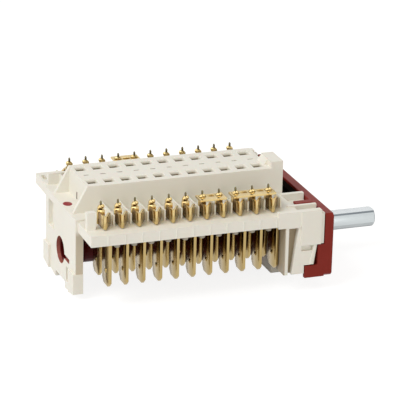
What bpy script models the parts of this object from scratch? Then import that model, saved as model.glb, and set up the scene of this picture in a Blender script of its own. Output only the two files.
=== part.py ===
"""Rotary cam switch for an oven: eleven contact stations a side, worked by one camshaft.

Sizes are in millimetres in the spindle's own frame: X runs along the spindle from the first
near contact tip to the spindle's free end, Y runs to the far side, Z runs up, and the
spindle's axis is Y = Z = 0. Distances from the axis to either side are called "out". The
empty that carries every piece puts the model's origin in the middle of its underside.
"""

import math

import bmesh
import bpy

MM = 0.001

# Clearances
SEAT_GAP = 0.3
RUN_GAP = 0.3
OVERLAP = 0.2

# Stations
STATIONS = 11
PITCH = 5.0
NEAR_STATION_X = 1.36
FAR_STATION_X = 0.71

# Housing, lengthwise
REAR_FACE_X = -6.14
REAR_WALL = 2.3
SHELF_START_X = -5.5
DECK_START_X = -1.0
DECK_END_X = 54.7
DECK_WALL = 1.2
DECK_END_WALL = 0.7
BLOCK_START_X = 52.1
WEB_START_X = 54.6
PLATE_REAR_X = 64.4
BAND_START_X = 49.95
BAND_END_X = 63.05

# Housing, crosswise
DECK_OUT = 9.4
WALL_OUT = 14.7
SHELF_OUT = 27.4
CHAMBER_OUT = 8.1
CHEST_OUT = 11.4
CHEST_WALL = 1.4

# Housing, heights
BASE_Z = -9.9
SHELF_LOW_Z = 10.7
SHELF_TOP_Z = 13.8
LEDGE_TOP_Z = 14.2
LEDGE_THICK = 1.8
DECK_TOP_Z = 21.9
ROOF = 1.8

# Rear wall
FOOT_GAP_OUT = 4.7
FOOT_GAP_Z = -8.0
FOOT_FLAT_OUT = 5.9
FOOT_CORNER_Z = -8.2
FOOT_PAD_IN = 9.8
FOOT_PAD_OUT = 14.9
FOOT_PAD_PROUD = 0.7
FOOT_PAD_TOP_Z = -2.2
FOOT_GROOVE_IN = 5.6
FOOT_GROOVE_WIDTH = 3.2
FOOT_GROOVE_LOW_Z = -7.4
FOOT_GROOVE_HEIGHT = 4.4
FOOT_GROOVE_DEPTH = 0.8
KEYHOLE_OUT = 8.8
KEYHOLE_LOW_Z = -1.3
KEYHOLE_HEIGHT = 1.4
RECESS_IN = 6.5
RECESS_WIDTH = 5.4
RECESS_LOW_Z = 3.6
RECESS_HEIGHT = 8.0
RECESS_DEPTH = 1.2
POCKET_START_X = -4.7
POCKET_LENGTH = 1.1
POCKET_IN = 21.5
POCKET_OUT = 25.0
POCKET_FLOOR_Z = 12.6
SCREEN_START_X = -4.8
SCREEN_END_X = 0.6
SCREEN_THICK = 1.0
SCREEN_TOP_Z = 17.2

# Gussets, dividers and the end stop beside the first tab
GUSSET_FOOT_X = -5.3
GUSSET_THICK = 1.2
DIVIDER_OFFSET = 1.94
DIVIDER_THICK = 0.5
DIVIDER_OUT = 20.4
DIVIDER_TOP_Z = 16.8
STOP_OFFSET = -6.5
STOP_LENGTH = 2.45
STOP_OUT = 22.4
STOP_THICK = 1.8
NEAR_STOP_TOP_Z = 19.0

# Deck openings
HOLE_OFFSET = 0.15
HOLE_OUT = 5.55
HOLE_SIDE = 2.2
HOLE_MOUTH = 3.4
HOLE_DISH = 0.7
SLOT_LENGTH = 1.6
SLOT_WIDTH = 0.6
SLIT_OUT = 0.95
SLIT_WIDTH = 0.9
SLIT_LOW_Z = 14.4
SLIT_HEIGHT = 2.3
PARTITION_OFFSET = 3.39
PARTITION_THICK = 0.6
PARTITION_LOW_Z = 14.0

# End block, with its side boxes, chest and raised tower
BLOCK_LOW_Z = -4.2
BLOCK_IN = 15.1
BLOCK_WALL = 1.5
BLOCK_ROOF_Z = 12.1
ROOF_START_X = 57.3
CHEST_FLOOR = 1.0
CHEST_OPEN_X = 58.4
CHEST_ROOF_Z = 12.3
RIB_INSET = 7.5
RIB_THICK = 1.1
RIB_START_X = 55.3
ARM_TOP_Z = 14.2
TOWER_END_X = 58.1
TOWER_NEAR_OUT = 9.4
TOWER_FAR_OUT = 1.0
TOWER_TOP_Z = 23.9
TOWER_WALL = 1.2
TOWER_RAMP_LENGTH = 1.5
TOWER_RAMP_OUT = 6.0
END_STEP_END_X = 56.8
END_STEP_TOP_Z = 19.5
BAND_LOW_Z = 10.2
BAND_TOP_Z = 14.9
BAND_PROUD = 0.25
PANEL_START_X = 56.95
PANEL_LOW_Z = 4.5
PANEL_PROUD = 0.5
WINDOW_START_X = 57.3
WINDOW_LENGTH = 3.4
WINDOW_LOW_Z = 2.6
WINDOW_DEPTH = 1.0
LATCH_TOP_X = 62.1
LATCH_LOW_X = 61.2
HOLLOW_START_X = 53.3
HOLLOW_TOP_LENGTH = 2.9
HOLLOW_LOW_LENGTH = 1.1
HOLLOW_DEPTH = 4.0
HOLLOW_TOP_Z = 9.9

# Front plate
PLATE_THICK = 2.65
PLATE_LOW_Z = -5.8
PLATE_TOP_Z = 13.2
PLATE_EDGE = 0.8
PLATE_FOOT_START_X = 58.55
PLATE_FOOT_TOP_Z = -2.0
PLATE_FOOT_THICK = 1.4
CHEEK_THICK = 1.9
CHEEK_TOP_Z = 6.0
CHEEK_START_X = 60.0
TONGUE_WIDTH = 2.4
TONGUE_START_X = 59.5
TONGUE_THICK = 0.8

# Camshaft and spindle
JOURNAL_RADIUS = 3.7
JOURNAL_INSET = 1.0
JOURNAL_BORE = 3.0
JOURNAL_BORE_DEPTH = 5.0
NECK_RADIUS = 4.2
CAM_LOW = 4.4
CAM_HIGH = 7.7
CAM_WIDTH = 4.3
CAM_START_X = 0.0
GROOVE_RADIUS = 4.0
FRONT_JOURNAL_END_X = 57.4
NECK_FRONT_RADIUS = 5.0
STAR_START_X = 59.2
STAR_WIDTH = 3.0
STAR_TIP = 6.8
STAR_ROOT = 5.9
DETENTS = 12
COLLAR_RADIUS = 4.6
SPINDLE_RADIUS = 3.0
SPINDLE_START_X = 50.0
SPINDLE_TIP_X = 91.3
SPINDLE_CHAMFER = 0.6
FLAT_START_X = 68.4
FLAT_HEIGHT = 2.4
RING_POINTS = 24
CAM_RAMP_DEG = 10.0
NEAR_UNDERSIDE_DEG = 248.0
OPEN_TRACKS = 4
OPEN_SPAN_DEG = 140.0
SHUT_SPAN_DEG = 150.0
SPAN_STEP_DEG = 20.0
SHORT_SPAN_DEG = 60.0
SHARP_DEG = 35.0

# Terminals
SHEET = 0.8
TAB_WIDTH = 6.3
TAB_TIP_Z = -3.6
TAB_CHAMFER = 1.3
DIMPLE_RADIUS = 0.8
DIMPLE_PROUD = 0.3
DIMPLE_Z = 0.6
OUTER_TAB_OUT = 20.4
INNER_TAB_OUT = 11.6
SEAT_TOP_Z = 13.0
NECK_IN = 18.0
NECK_OUT = 19.8
LEAF_LOW_Z = SHELF_TOP_Z + SEAT_GAP
LEAF_TOP_Z = 16.9
LEAF_THICK = 0.6
LEAF_BACK_OUT = 18.9
LEAF_NOSE_OUT = 24.0
LEAF_BACK_X = -2.0
LEAF_NOSE_X = -1.76
LEAF_SIDE_X = 1.3
TIP_X = -1.36
TIP_OUT = 18.5
TIP_TOP_Z = 20.9
TIP_WIDTH = 0.5
SHOULDER_WIDTH = 2.3
SHOULDER_Z = 18.1
HEAD_WIDTH = 1.5
HEAD_TOP_Z = 19.7
ARM_IN = 1.3
ARM_OFFSET = 1.9
ARM_LOW_Z = 11.3
CONTACT_OUT = 2.1
CONTACT_RADIUS = 0.8
FIXED_CONTACT_LOW_Z = 10.9
SPRING_START_X = -0.4
SPRING_END_X = 2.4
SPRING_THICK = 0.4
SPRING_ROOT_OUT = 10.5
SPRING_ROOT_Z = 10.2
SPRING_BEND_OUT = 9.0
SPRING_TIP_Z = 9.9
SPRING_TIP_OUT = 1.1
SPRING_RISE_OUT = 3.3
KNUCKLE_DEG = 53.3
CONTACT_SIDES = 8

# Bridges over neighbouring tabs
BRIDGE_THICK = 0.6
BRIDGE_IN = 16.9
BRIDGE_OUT = 21.2
BRIDGE_OVERHANG = 1.5
BRIDGE_SLOT_LENGTH = 2.0
BRIDGE_SLOT_WIDTH = 1.5

# Detent
DETENT_SPRING_THICK = 0.4
DETENT_SPRING_OUT = 6.5
DETENT_SPRING_MARGIN = 0.2
DETENT_NOSE_OUT = 2.0
DETENT_NOSE_FLAT = 0.3
CARRIER_TOP_Z = 13.0
CARRIER_SLOT = 2.0

# Derived places
WALL_FRONT_X = REAR_FACE_X + REAR_WALL
BLOCK_END_X = PLATE_REAR_X - SEAT_GAP
PLATE_FRONT_X = PLATE_REAR_X + PLATE_THICK
CAM_CLEAR = CAM_HIGH + RUN_GAP
ORIGIN_X = (REAR_FACE_X - FOOT_PAD_PROUD + SPINDLE_TIP_X) / 2.0
CAM_PITCH = PITCH
STAR_END_X = STAR_START_X + STAR_WIDTH
CARRIER_LOW_Z = STAR_TIP + 1.0 + DETENT_SPRING_THICK + SEAT_GAP
RIB_IN = SHELF_OUT - RIB_INSET
TONGUE_IN = (CHEST_OUT + RIB_IN - TONGUE_WIDTH) / 2.0

CREAM = ("cream_moulding", (0.80, 0.76, 0.68), 0.45, 0.0)
RED_BROWN = ("red_brown_moulding", (0.20, 0.035, 0.025), 0.42, 0.0)
DARK_RED = ("dark_red_moulding", (0.25, 0.01, 0.015), 0.40, 0.0)
BLACK = ("black_moulding", (0.012, 0.011, 0.011), 0.50, 0.0)
BRASS = ("brass_sheet", (0.72, 0.52, 0.22), 0.28, 1.0)
ZINC = ("zinc_plate", (0.62, 0.66, 0.70), 0.35, 1.0)
STEEL = ("spring_steel", (0.48, 0.49, 0.50), 0.30, 1.0)


def clear_scene():
    """Remove every object that the start-up file holds."""
    for item in list(bpy.data.objects):
        bpy.data.objects.remove(item, do_unlink=True)


def material(finish):
    """Return the Principled material for a finish, made once."""
    name, colour, roughness, metallic = finish
    found = bpy.data.materials.get(name)
    if found:
        return found
    made = bpy.data.materials.new(name)
    made.use_nodes = True
    shader = made.node_tree.nodes["Principled BSDF"]
    shader.inputs["Base Color"].default_value = (*colour, 1.0)
    shader.inputs["Roughness"].default_value = roughness
    shader.inputs["Metallic"].default_value = metallic
    made.diffuse_color = (*colour, 1.0)
    return made


def mesh_object(name, bm):
    """Close a bmesh into a scene object with its faces pointing out."""
    bmesh.ops.recalc_face_normals(bm, faces=bm.faces)
    mesh = bpy.data.meshes.new(name)
    bm.to_mesh(mesh)
    bm.free()
    item = bpy.data.objects.new(name, mesh)
    bpy.context.scene.collection.objects.link(item)
    return item


def prism(points, axis, low, high):
    """Extrude a closed outline along one axis.

    The outline's two numbers are (y, z) for X, (x, z) for Y and (x, y) for Z.
    """
    place = {
        "X": lambda a, b, c: (c, a, b),
        "Y": lambda a, b, c: (a, c, b),
        "Z": lambda a, b, c: (a, b, c),
    }[axis]
    bm = bmesh.new()
    corners = [bm.verts.new([v * MM for v in place(a, b, low)]) for a, b in points]
    face = bm.faces.new(corners)
    grown = bmesh.ops.extrude_face_region(bm, geom=[face])
    moved = [v for v in grown["geom"] if isinstance(v, bmesh.types.BMVert)]
    step = [v * MM for v in place(0.0, 0.0, high - low)]
    bmesh.ops.translate(bm, verts=moved, vec=step)
    return mesh_object("prism", bm)


def box(x_low, x_high, y_low, y_high, z_low, z_high):
    """Make a box between two corners, given in any order along Y."""
    y_low, y_high = sorted((y_low, y_high))
    outline = [(y_low, z_low), (y_high, z_low), (y_high, z_high), (y_low, z_high)]
    return prism(outline, "X", x_low, x_high)


def circle(centre_a, centre_b, radius, sides):
    """Return the corners of a regular outline whose flats face the axes."""
    turn = 2.0 * math.pi / sides
    return [
        (
            centre_a + radius * math.cos(turn * (i + 0.5)),
            centre_b + radius * math.sin(turn * (i + 0.5)),
        )
        for i in range(sides)
    ]


def thick_path(points, thickness):
    """Return the outline of a strip of sheet that follows the points."""
    half = thickness / 2.0
    left = []
    right = []
    last = len(points) - 1
    for i, (a, b) in enumerate(points):
        before = points[max(i - 1, 0)]
        after = points[min(i + 1, last)]
        into = _unit(a - before[0], b - before[1]) if i else None
        out = _unit(after[0] - a, after[1] - b) if i < last else None
        into = into or out
        out = out or into
        normal_a = -(into[1] + out[1])
        normal_b = into[0] + out[0]
        scale = 2.0 * half / (normal_a * normal_a + normal_b * normal_b)
        left.append((a + normal_a * scale, b + normal_b * scale))
        right.append((a - normal_a * scale, b - normal_b * scale))
    return left + right[::-1]


def _unit(a, b):
    """Return the direction of (a, b) with length one."""
    length = math.hypot(a, b)
    return a / length, b / length


def ring_stack(name, rings):
    """Skin rings of equal point counts into one closed body.

    Each ring is (x, radii), and the angle runs from +Y towards +Z.
    """
    bm = bmesh.new()
    loops = []
    for x, radii in rings:
        count = len(radii)
        loop = []
        for i, radius in enumerate(radii):
            angle = 2.0 * math.pi * i / count
            loop.append(
                bm.verts.new(
                    (x * MM, radius * math.cos(angle) * MM, radius * math.sin(angle) * MM)
                )
            )
        loops.append(loop)
    for one, two in zip(loops, loops[1:]):
        count = len(one)
        for i in range(count):
            j = (i + 1) % count
            bm.faces.new((one[i], one[j], two[j], two[i]))
    bm.faces.new(loops[0])
    bm.faces.new(loops[-1])
    return mesh_object(name, bm)


def combine(target, tools, operation):
    """Unite the tools with the target, or cut them from it, and apply the result."""
    group = bpy.data.collections.new("tools")
    bpy.context.scene.collection.children.link(group)
    for tool in tools:
        bpy.context.scene.collection.objects.unlink(tool)
        group.objects.link(tool)
        tool.hide_render = True
        tool.display_type = "WIRE"
    step = target.modifiers.new(operation.lower(), "BOOLEAN")
    step.operation = operation
    step.operand_type = "COLLECTION"
    step.collection = group
    step.solver = "EXACT"
    bpy.context.view_layer.update()
    graph = bpy.context.evaluated_depsgraph_get()
    made = bpy.data.meshes.new_from_object(target.evaluated_get(graph))
    target.modifiers.clear()
    target.data = made
    for tool in tools:
        bpy.data.objects.remove(tool, do_unlink=True)
    bpy.data.collections.remove(group)
    return target


def finish(item, name, coat, parent, location=(0.0, 0.0, 0.0), smooth=False):
    """Name a piece, give it its material and place it under its parent."""
    item.name = name
    item.data.name = name
    item.data.materials.clear()
    item.data.materials.append(material(coat))
    item.parent = parent
    item.location = [v * MM for v in location]
    if smooth:
        item.data.shade_smooth()
        item.data.set_sharp_from_angle(angle=math.radians(SHARP_DEG))
    return item


def copy_of(item, name, parent, location):
    """Place one more piece that shares another piece's mesh."""
    twin = bpy.data.objects.new(name, item.data)
    bpy.context.scene.collection.objects.link(twin)
    twin.parent = parent
    twin.location = [v * MM for v in location]
    return twin


def station_x(side, index):
    """Return the X of a station's blades; side is -1 for near and 1 for far."""
    first = NEAR_STATION_X if side < 0 else FAR_STATION_X
    return first + PITCH * index


def top_x(side, offset):
    """Turn an offset above the shelf, which the far row has the other way round."""
    return offset if side < 0 else -offset


def square_cutter(x, y, low_z):
    """Make the cutter of one dished square hole in the deck."""
    bm = bmesh.new()
    levels = (
        (low_z, HOLE_SIDE),
        (DECK_TOP_Z - HOLE_DISH, HOLE_SIDE),
        (DECK_TOP_Z, HOLE_MOUTH),
        (DECK_TOP_Z + OVERLAP, HOLE_MOUTH),
    )
    rings = []
    for z, side in levels:
        half = side / 2.0
        corners = ((-half, -half), (half, -half), (half, half), (-half, half))
        rings.append([bm.verts.new(((x + a) * MM, (y + b) * MM, z * MM)) for a, b in corners])
    for one, two in zip(rings, rings[1:]):
        for i in range(4):
            j = (i + 1) % 4
            bm.faces.new((one[i], one[j], two[j], two[i]))
    bm.faces.new(rings[0])
    bm.faces.new(rings[-1])
    return mesh_object("square_cutter", bm)


def foot_z(out):
    """Return the height of the rear wall's lower edge at a distance from the axis."""
    share = (out - FOOT_FLAT_OUT) / (WALL_OUT - FOOT_FLAT_OUT)
    return BASE_Z + share * (FOOT_CORNER_Z - BASE_Z)


def rear_wall_solids():
    """Return the rear wall with its foot pads, its ledge and the two gussets."""
    wall = [
        (-WALL_OUT, FOOT_CORNER_Z),
        (-FOOT_FLAT_OUT, BASE_Z),
        (-FOOT_GAP_OUT, BASE_Z),
        (-FOOT_GAP_OUT, FOOT_GAP_Z),
        (FOOT_GAP_OUT, FOOT_GAP_Z),
        (FOOT_GAP_OUT, BASE_Z),
        (FOOT_FLAT_OUT, BASE_Z),
        (WALL_OUT, FOOT_CORNER_Z),
        (WALL_OUT, LEDGE_TOP_Z),
        (-WALL_OUT, LEDGE_TOP_Z),
    ]
    solids = [prism(wall, "X", REAR_FACE_X, WALL_FRONT_X)]
    solids.append(
        box(
            REAR_FACE_X + OVERLAP,
            DECK_START_X + OVERLAP,
            -WALL_OUT + OVERLAP,
            WALL_OUT - OVERLAP,
            LEDGE_TOP_Z - LEDGE_THICK,
            LEDGE_TOP_Z,
        )
    )
    for side in (-1, 1):
        pad = [
            (side * FOOT_PAD_IN, foot_z(FOOT_PAD_IN)),
            (side * FOOT_PAD_OUT, foot_z(FOOT_PAD_OUT)),
            (side * FOOT_PAD_OUT, FOOT_PAD_TOP_Z),
            (side * FOOT_PAD_IN, FOOT_PAD_TOP_Z),
        ]
        solids.append(prism(pad, "X", REAR_FACE_X - FOOT_PAD_PROUD, WALL_FRONT_X))
        gusset = [
            (GUSSET_FOOT_X, LEDGE_TOP_Z - OVERLAP),
            (DECK_START_X + OVERLAP, LEDGE_TOP_Z - OVERLAP),
            (DECK_START_X + OVERLAP, DECK_TOP_Z),
            (DECK_START_X, DECK_TOP_Z),
        ]
        low, high = sorted((side * (DECK_OUT - GUSSET_THICK), side * DECK_OUT))
        solids.append(prism(gusset, "Y", low, high))
    return solids


def rear_wall_cutters():
    """Return the bearing hole, its keyhole slot, the recesses and the shelf's notch."""
    bearing = circle(0.0, 0.0, JOURNAL_RADIUS + RUN_GAP, RING_POINTS)
    through = (REAR_FACE_X - OVERLAP, WALL_FRONT_X + OVERLAP)
    cutters = [prism(bearing, "X", *through)]
    cutters.append(
        box(*through, -KEYHOLE_OUT, 0.0, KEYHOLE_LOW_Z, KEYHOLE_LOW_Z + KEYHOLE_HEIGHT)
    )
    cutters.append(
        box(
            REAR_FACE_X - OVERLAP,
            REAR_FACE_X + RECESS_DEPTH,
            RECESS_IN,
            RECESS_IN + RECESS_WIDTH,
            RECESS_LOW_Z,
            RECESS_LOW_Z + RECESS_HEIGHT,
        )
    )
    cutters.append(
        box(
            REAR_FACE_X - OVERLAP,
            REAR_FACE_X + FOOT_GROOVE_DEPTH,
            -FOOT_GROOVE_IN - FOOT_GROOVE_WIDTH,
            -FOOT_GROOVE_IN,
            FOOT_GROOVE_LOW_Z,
            FOOT_GROOVE_LOW_Z + FOOT_GROOVE_HEIGHT,
        )
    )
    cutters.append(
        box(
            POCKET_START_X,
            POCKET_START_X + POCKET_LENGTH,
            POCKET_IN,
            POCKET_OUT,
            POCKET_FLOOR_Z,
            SHELF_TOP_Z + OVERLAP,
        )
    )
    return cutters


def shelf_solids(side):
    """Return one shelf with its dividers, its end stop and, on the far side, its screen."""
    solids = [
        box(
            SHELF_START_X,
            BLOCK_START_X + OVERLAP,
            side * (DECK_OUT - OVERLAP),
            side * SHELF_OUT,
            SHELF_LOW_Z,
            SHELF_TOP_Z,
        )
    ]
    for i in range(STATIONS):
        centre = station_x(side, i) + top_x(side, DIVIDER_OFFSET)
        solids.append(
            box(
                centre - DIVIDER_THICK / 2.0,
                centre + DIVIDER_THICK / 2.0,
                side * (DECK_OUT - OVERLAP),
                side * DIVIDER_OUT,
                SHELF_TOP_Z - OVERLAP,
                DIVIDER_TOP_Z,
            )
        )
    end_station = station_x(side, 0 if side < 0 else STATIONS - 1)
    edges = sorted(
        end_station + top_x(side, offset) for offset in (STOP_OFFSET, STOP_OFFSET + STOP_LENGTH)
    )
    solids.append(
        box(
            *edges,
            side * (STOP_OUT - STOP_THICK),
            side * STOP_OUT,
            SHELF_TOP_Z - OVERLAP,
            NEAR_STOP_TOP_Z if side < 0 else DIVIDER_TOP_Z,
        )
    )
    if side > 0:
        solids.append(
            box(
                SCREEN_START_X,
                SCREEN_END_X,
                NECK_IN - SEAT_GAP - SCREEN_THICK,
                NECK_IN - SEAT_GAP,
                SHELF_TOP_Z - OVERLAP,
                SCREEN_TOP_Z,
            )
        )
    return solids


def terminal_slots(side, index):
    """Return the cutters that seat one station's two terminals in a shelf."""
    x = station_x(side, index)
    half_slot = SHEET / 2.0 + SEAT_GAP
    half_tab = TAB_WIDTH / 2.0 + SEAT_GAP
    arm_low = ARM_OFFSET - SHEET / 2.0 - SEAT_GAP
    arm_high = ARM_OFFSET + SHEET / 2.0 + SEAT_GAP
    below = SHELF_LOW_Z - OVERLAP
    roof = SEAT_TOP_Z + SEAT_GAP
    return [
        box(
            x - half_slot,
            x + half_slot,
            side * (OUTER_TAB_OUT - half_tab),
            side * (OUTER_TAB_OUT + half_tab),
            below,
            roof,
        ),
        box(
            x - half_slot,
            x + half_slot,
            side * (NECK_IN - SEAT_GAP),
            side * (NECK_OUT + SEAT_GAP),
            below,
            SHELF_TOP_Z + OVERLAP,
        ),
        box(
            x - half_slot,
            x + arm_high,
            side * (OUTER_TAB_OUT - half_tab),
            side * (OUTER_TAB_OUT - TAB_WIDTH / 2.0 + SHEET + SEAT_GAP),
            below,
            roof,
        ),
        box(
            x + arm_low,
            x + arm_high,
            side * (CHAMBER_OUT - OVERLAP),
            side * (OUTER_TAB_OUT - half_tab + OVERLAP),
            below,
            roof,
        ),
        box(
            x - half_slot,
            x + half_slot,
            side * SPRING_ROOT_OUT,
            side * (INNER_TAB_OUT + half_tab),
            below,
            roof,
        ),
    ]


def deck_cutters():
    """Return the deck's holes, slots and slit."""
    cutters = []
    roof_low = DECK_TOP_Z - ROOF - OVERLAP
    for i in range(STATIONS):
        x = NEAR_STATION_X + HOLE_OFFSET + PITCH * i
        cutters += [square_cutter(x, side * HOLE_OUT, roof_low) for side in (-1, 1)]
        cutters.append(
            box(
                x - SLOT_LENGTH / 2.0,
                x + SLOT_LENGTH / 2.0,
                -SLOT_WIDTH / 2.0,
                SLOT_WIDTH / 2.0,
                roof_low,
                DECK_TOP_Z + OVERLAP,
            )
        )
    cutters.append(
        box(
            DECK_START_X - OVERLAP,
            DECK_START_X + DECK_WALL + OVERLAP,
            SLIT_OUT - SLIT_WIDTH / 2.0,
            SLIT_OUT + SLIT_WIDTH / 2.0,
            SLIT_LOW_Z,
            SLIT_LOW_Z + SLIT_HEIGHT,
        )
    )
    return cutters


def partition_solids():
    """Return the walls between the contact cells under the deck."""
    solids = []
    for i in range(STATIONS - 1):
        x = NEAR_STATION_X + PARTITION_OFFSET + PITCH * i
        solids.append(
            box(
                x - PARTITION_THICK / 2.0,
                x + PARTITION_THICK / 2.0,
                -CHAMBER_OUT - OVERLAP,
                CHAMBER_OUT + OVERLAP,
                PARTITION_LOW_Z,
                DECK_TOP_Z - ROOF + OVERLAP,
            )
        )
    return solids


def end_block_solids():
    """Return the end block's boxes, tower, end step, bands and latch panels."""
    ramp = [
        (DECK_END_X - TOWER_RAMP_LENGTH, DECK_TOP_Z - OVERLAP),
        (DECK_END_X, DECK_TOP_Z - OVERLAP),
        (DECK_END_X, TOWER_TOP_Z),
    ]
    solids = [
        box(
            WEB_START_X,
            BLOCK_END_X,
            -BLOCK_IN - OVERLAP,
            BLOCK_IN + OVERLAP,
            BLOCK_LOW_Z,
            SHELF_TOP_Z,
        ),
        box(WEB_START_X, BLOCK_END_X, -CHEST_OUT, CHEST_OUT, BASE_Z, SHELF_TOP_Z),
        box(
            DECK_END_X - OVERLAP,
            TOWER_END_X,
            -TOWER_NEAR_OUT,
            -TOWER_FAR_OUT,
            SHELF_TOP_Z - OVERLAP,
            TOWER_TOP_Z,
        ),
        box(
            DECK_END_X - OVERLAP,
            END_STEP_END_X,
            -TOWER_FAR_OUT - OVERLAP,
            DECK_OUT,
            SHELF_TOP_Z - OVERLAP,
            END_STEP_TOP_Z,
        ),
        prism(ramp, "Y", -TOWER_RAMP_OUT, -TOWER_FAR_OUT),
    ]
    for side in (-1, 1):
        solids += [
            box(
                BLOCK_START_X,
                BLOCK_END_X,
                side * BLOCK_IN,
                side * SHELF_OUT,
                BLOCK_LOW_Z,
                SHELF_TOP_Z,
            ),
            box(
                BAND_START_X,
                BAND_END_X,
                side * (SHELF_OUT - BLOCK_WALL),
                side * (SHELF_OUT + BAND_PROUD),
                BAND_LOW_Z,
                BAND_TOP_Z,
            ),
            box(
                PANEL_START_X,
                BAND_END_X,
                side * (SHELF_OUT - BLOCK_WALL),
                side * (SHELF_OUT + PANEL_PROUD),
                PANEL_LOW_Z,
                BAND_TOP_Z,
            ),
        ]
    return solids


def arm_solids():
    """Return the raised edges of the chest and the ribs beside them."""
    solids = []
    for side in (-1, 1):
        solids.append(
            box(
                ROOF_START_X,
                BLOCK_END_X,
                side * (CHEST_OUT - CHEST_WALL),
                side * CHEST_OUT,
                BLOCK_ROOF_Z - OVERLAP,
                ARM_TOP_Z,
            )
        )
        solids.append(
            box(
                RIB_START_X,
                BLOCK_END_X,
                side * RIB_IN,
                side * (RIB_IN + RIB_THICK),
                BLOCK_ROOF_Z - OVERLAP,
                ARM_TOP_Z,
            )
        )
    return solids


def end_block_cutters():
    """Return the end block's chest, cells, bearing, latch windows and side hollows."""
    open_x = BLOCK_END_X + OVERLAP
    inner_x = WEB_START_X + BLOCK_WALL
    cell_low = BLOCK_LOW_Z + BLOCK_WALL
    cell_top = BLOCK_ROOF_Z - DECK_WALL
    chest_in = CHEST_OUT - CHEST_WALL
    bearing = circle(0.0, 0.0, CAM_CLEAR, RING_POINTS)
    cutters = [
        box(inner_x, open_x, -chest_in, chest_in, BASE_Z + CHEST_FLOOR, CHEST_ROOF_Z),
        box(CHEST_OPEN_X, open_x, -chest_in, chest_in, CHEST_ROOF_Z - OVERLAP, ARM_TOP_Z + OVERLAP),
        prism(bearing, "X", WEB_START_X - OVERLAP, inner_x + OVERLAP),
        box(
            DECK_END_X + TOWER_WALL,
            TOWER_END_X + OVERLAP,
            -TOWER_NEAR_OUT + TOWER_WALL,
            -TOWER_FAR_OUT - TOWER_WALL,
            SHELF_TOP_Z + TOWER_WALL,
            TOWER_TOP_Z - TOWER_WALL,
        ),
    ]
    cheek_in = SHELF_OUT - BLOCK_WALL
    for side in (-1, 1):
        cutters += [
            box(
                inner_x,
                open_x,
                side * (CHEST_OUT + CHEST_WALL),
                side * (RIB_IN - SEAT_GAP),
                cell_low,
                cell_top,
            ),
            box(
                BLOCK_START_X + BLOCK_WALL,
                open_x,
                side * (RIB_IN + RIB_THICK),
                side * cheek_in,
                cell_low,
                cell_top,
            ),
            box(
                ROOF_START_X,
                open_x,
                side * CHEST_OUT,
                side * RIB_IN,
                BLOCK_ROOF_Z,
                BAND_TOP_Z + OVERLAP,
            ),
            box(
                ROOF_START_X,
                open_x,
                side * (RIB_IN + RIB_THICK),
                side * cheek_in,
                BLOCK_ROOF_Z,
                BAND_TOP_Z + OVERLAP,
            ),
            box(
                WINDOW_START_X,
                WINDOW_START_X + WINDOW_LENGTH,
                side * (SHELF_OUT - WINDOW_DEPTH),
                side * (SHELF_OUT + OVERLAP),
                WINDOW_LOW_Z,
                PANEL_LOW_Z,
            ),
            foot_notch(side),
            side_hollow(side),
        ]
    return cutters


def side_hollow(side):
    """Return the cutter of the tapered hollow in one side of the end block."""
    outline = [
        (HOLLOW_START_X, BLOCK_LOW_Z - OVERLAP),
        (HOLLOW_START_X + HOLLOW_LOW_LENGTH, BLOCK_LOW_Z - OVERLAP),
        (HOLLOW_START_X + HOLLOW_TOP_LENGTH, HOLLOW_TOP_Z),
        (HOLLOW_START_X, HOLLOW_TOP_Z),
    ]
    low, high = sorted((side * (SHELF_OUT - HOLLOW_DEPTH), side * (SHELF_OUT + OVERLAP)))
    return prism(outline, "Y", low, high)


def foot_notch(side):
    """Return the cutter that makes room for one foot of the front plate."""
    start = PLATE_FOOT_START_X - SEAT_GAP
    top = PLATE_FOOT_TOP_Z + SEAT_GAP
    outline = [
        (start, BLOCK_LOW_Z - OVERLAP),
        (start, top),
        (LATCH_LOW_X, top),
        (LATCH_TOP_X, PANEL_LOW_Z),
        (BLOCK_END_X + OVERLAP, PANEL_LOW_Z),
        (BLOCK_END_X + OVERLAP, BLOCK_LOW_Z - OVERLAP),
    ]
    inside = SHELF_OUT - PLATE_FOOT_THICK - SEAT_GAP
    low, high = sorted((side * inside, side * (SHELF_OUT + OVERLAP)))
    return prism(outline, "Y", low, high)


def build_housing(parent):
    """Build the cream housing as one moulding."""
    deck = box(DECK_START_X, DECK_END_X, -DECK_OUT, DECK_OUT, SHELF_LOW_Z, DECK_TOP_Z)
    solids = rear_wall_solids() + end_block_solids()
    for side in (-1, 1):
        solids += shelf_solids(side)
    combine(deck, solids, "UNION")
    chamber = box(
        DECK_START_X + DECK_WALL,
        DECK_END_X - DECK_END_WALL,
        -CHAMBER_OUT,
        CHAMBER_OUT,
        SHELF_LOW_Z - OVERLAP,
        DECK_TOP_Z - ROOF,
    )
    combine(deck, [chamber] + end_block_cutters(), "DIFFERENCE")
    combine(deck, partition_solids() + arm_solids(), "UNION")
    cutters = rear_wall_cutters() + deck_cutters()
    for side in (-1, 1):
        for i in range(STATIONS):
            cutters += terminal_slots(side, i)
    combine(deck, cutters, "DIFFERENCE")
    return finish(deck, "housing", CREAM, parent)


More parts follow.
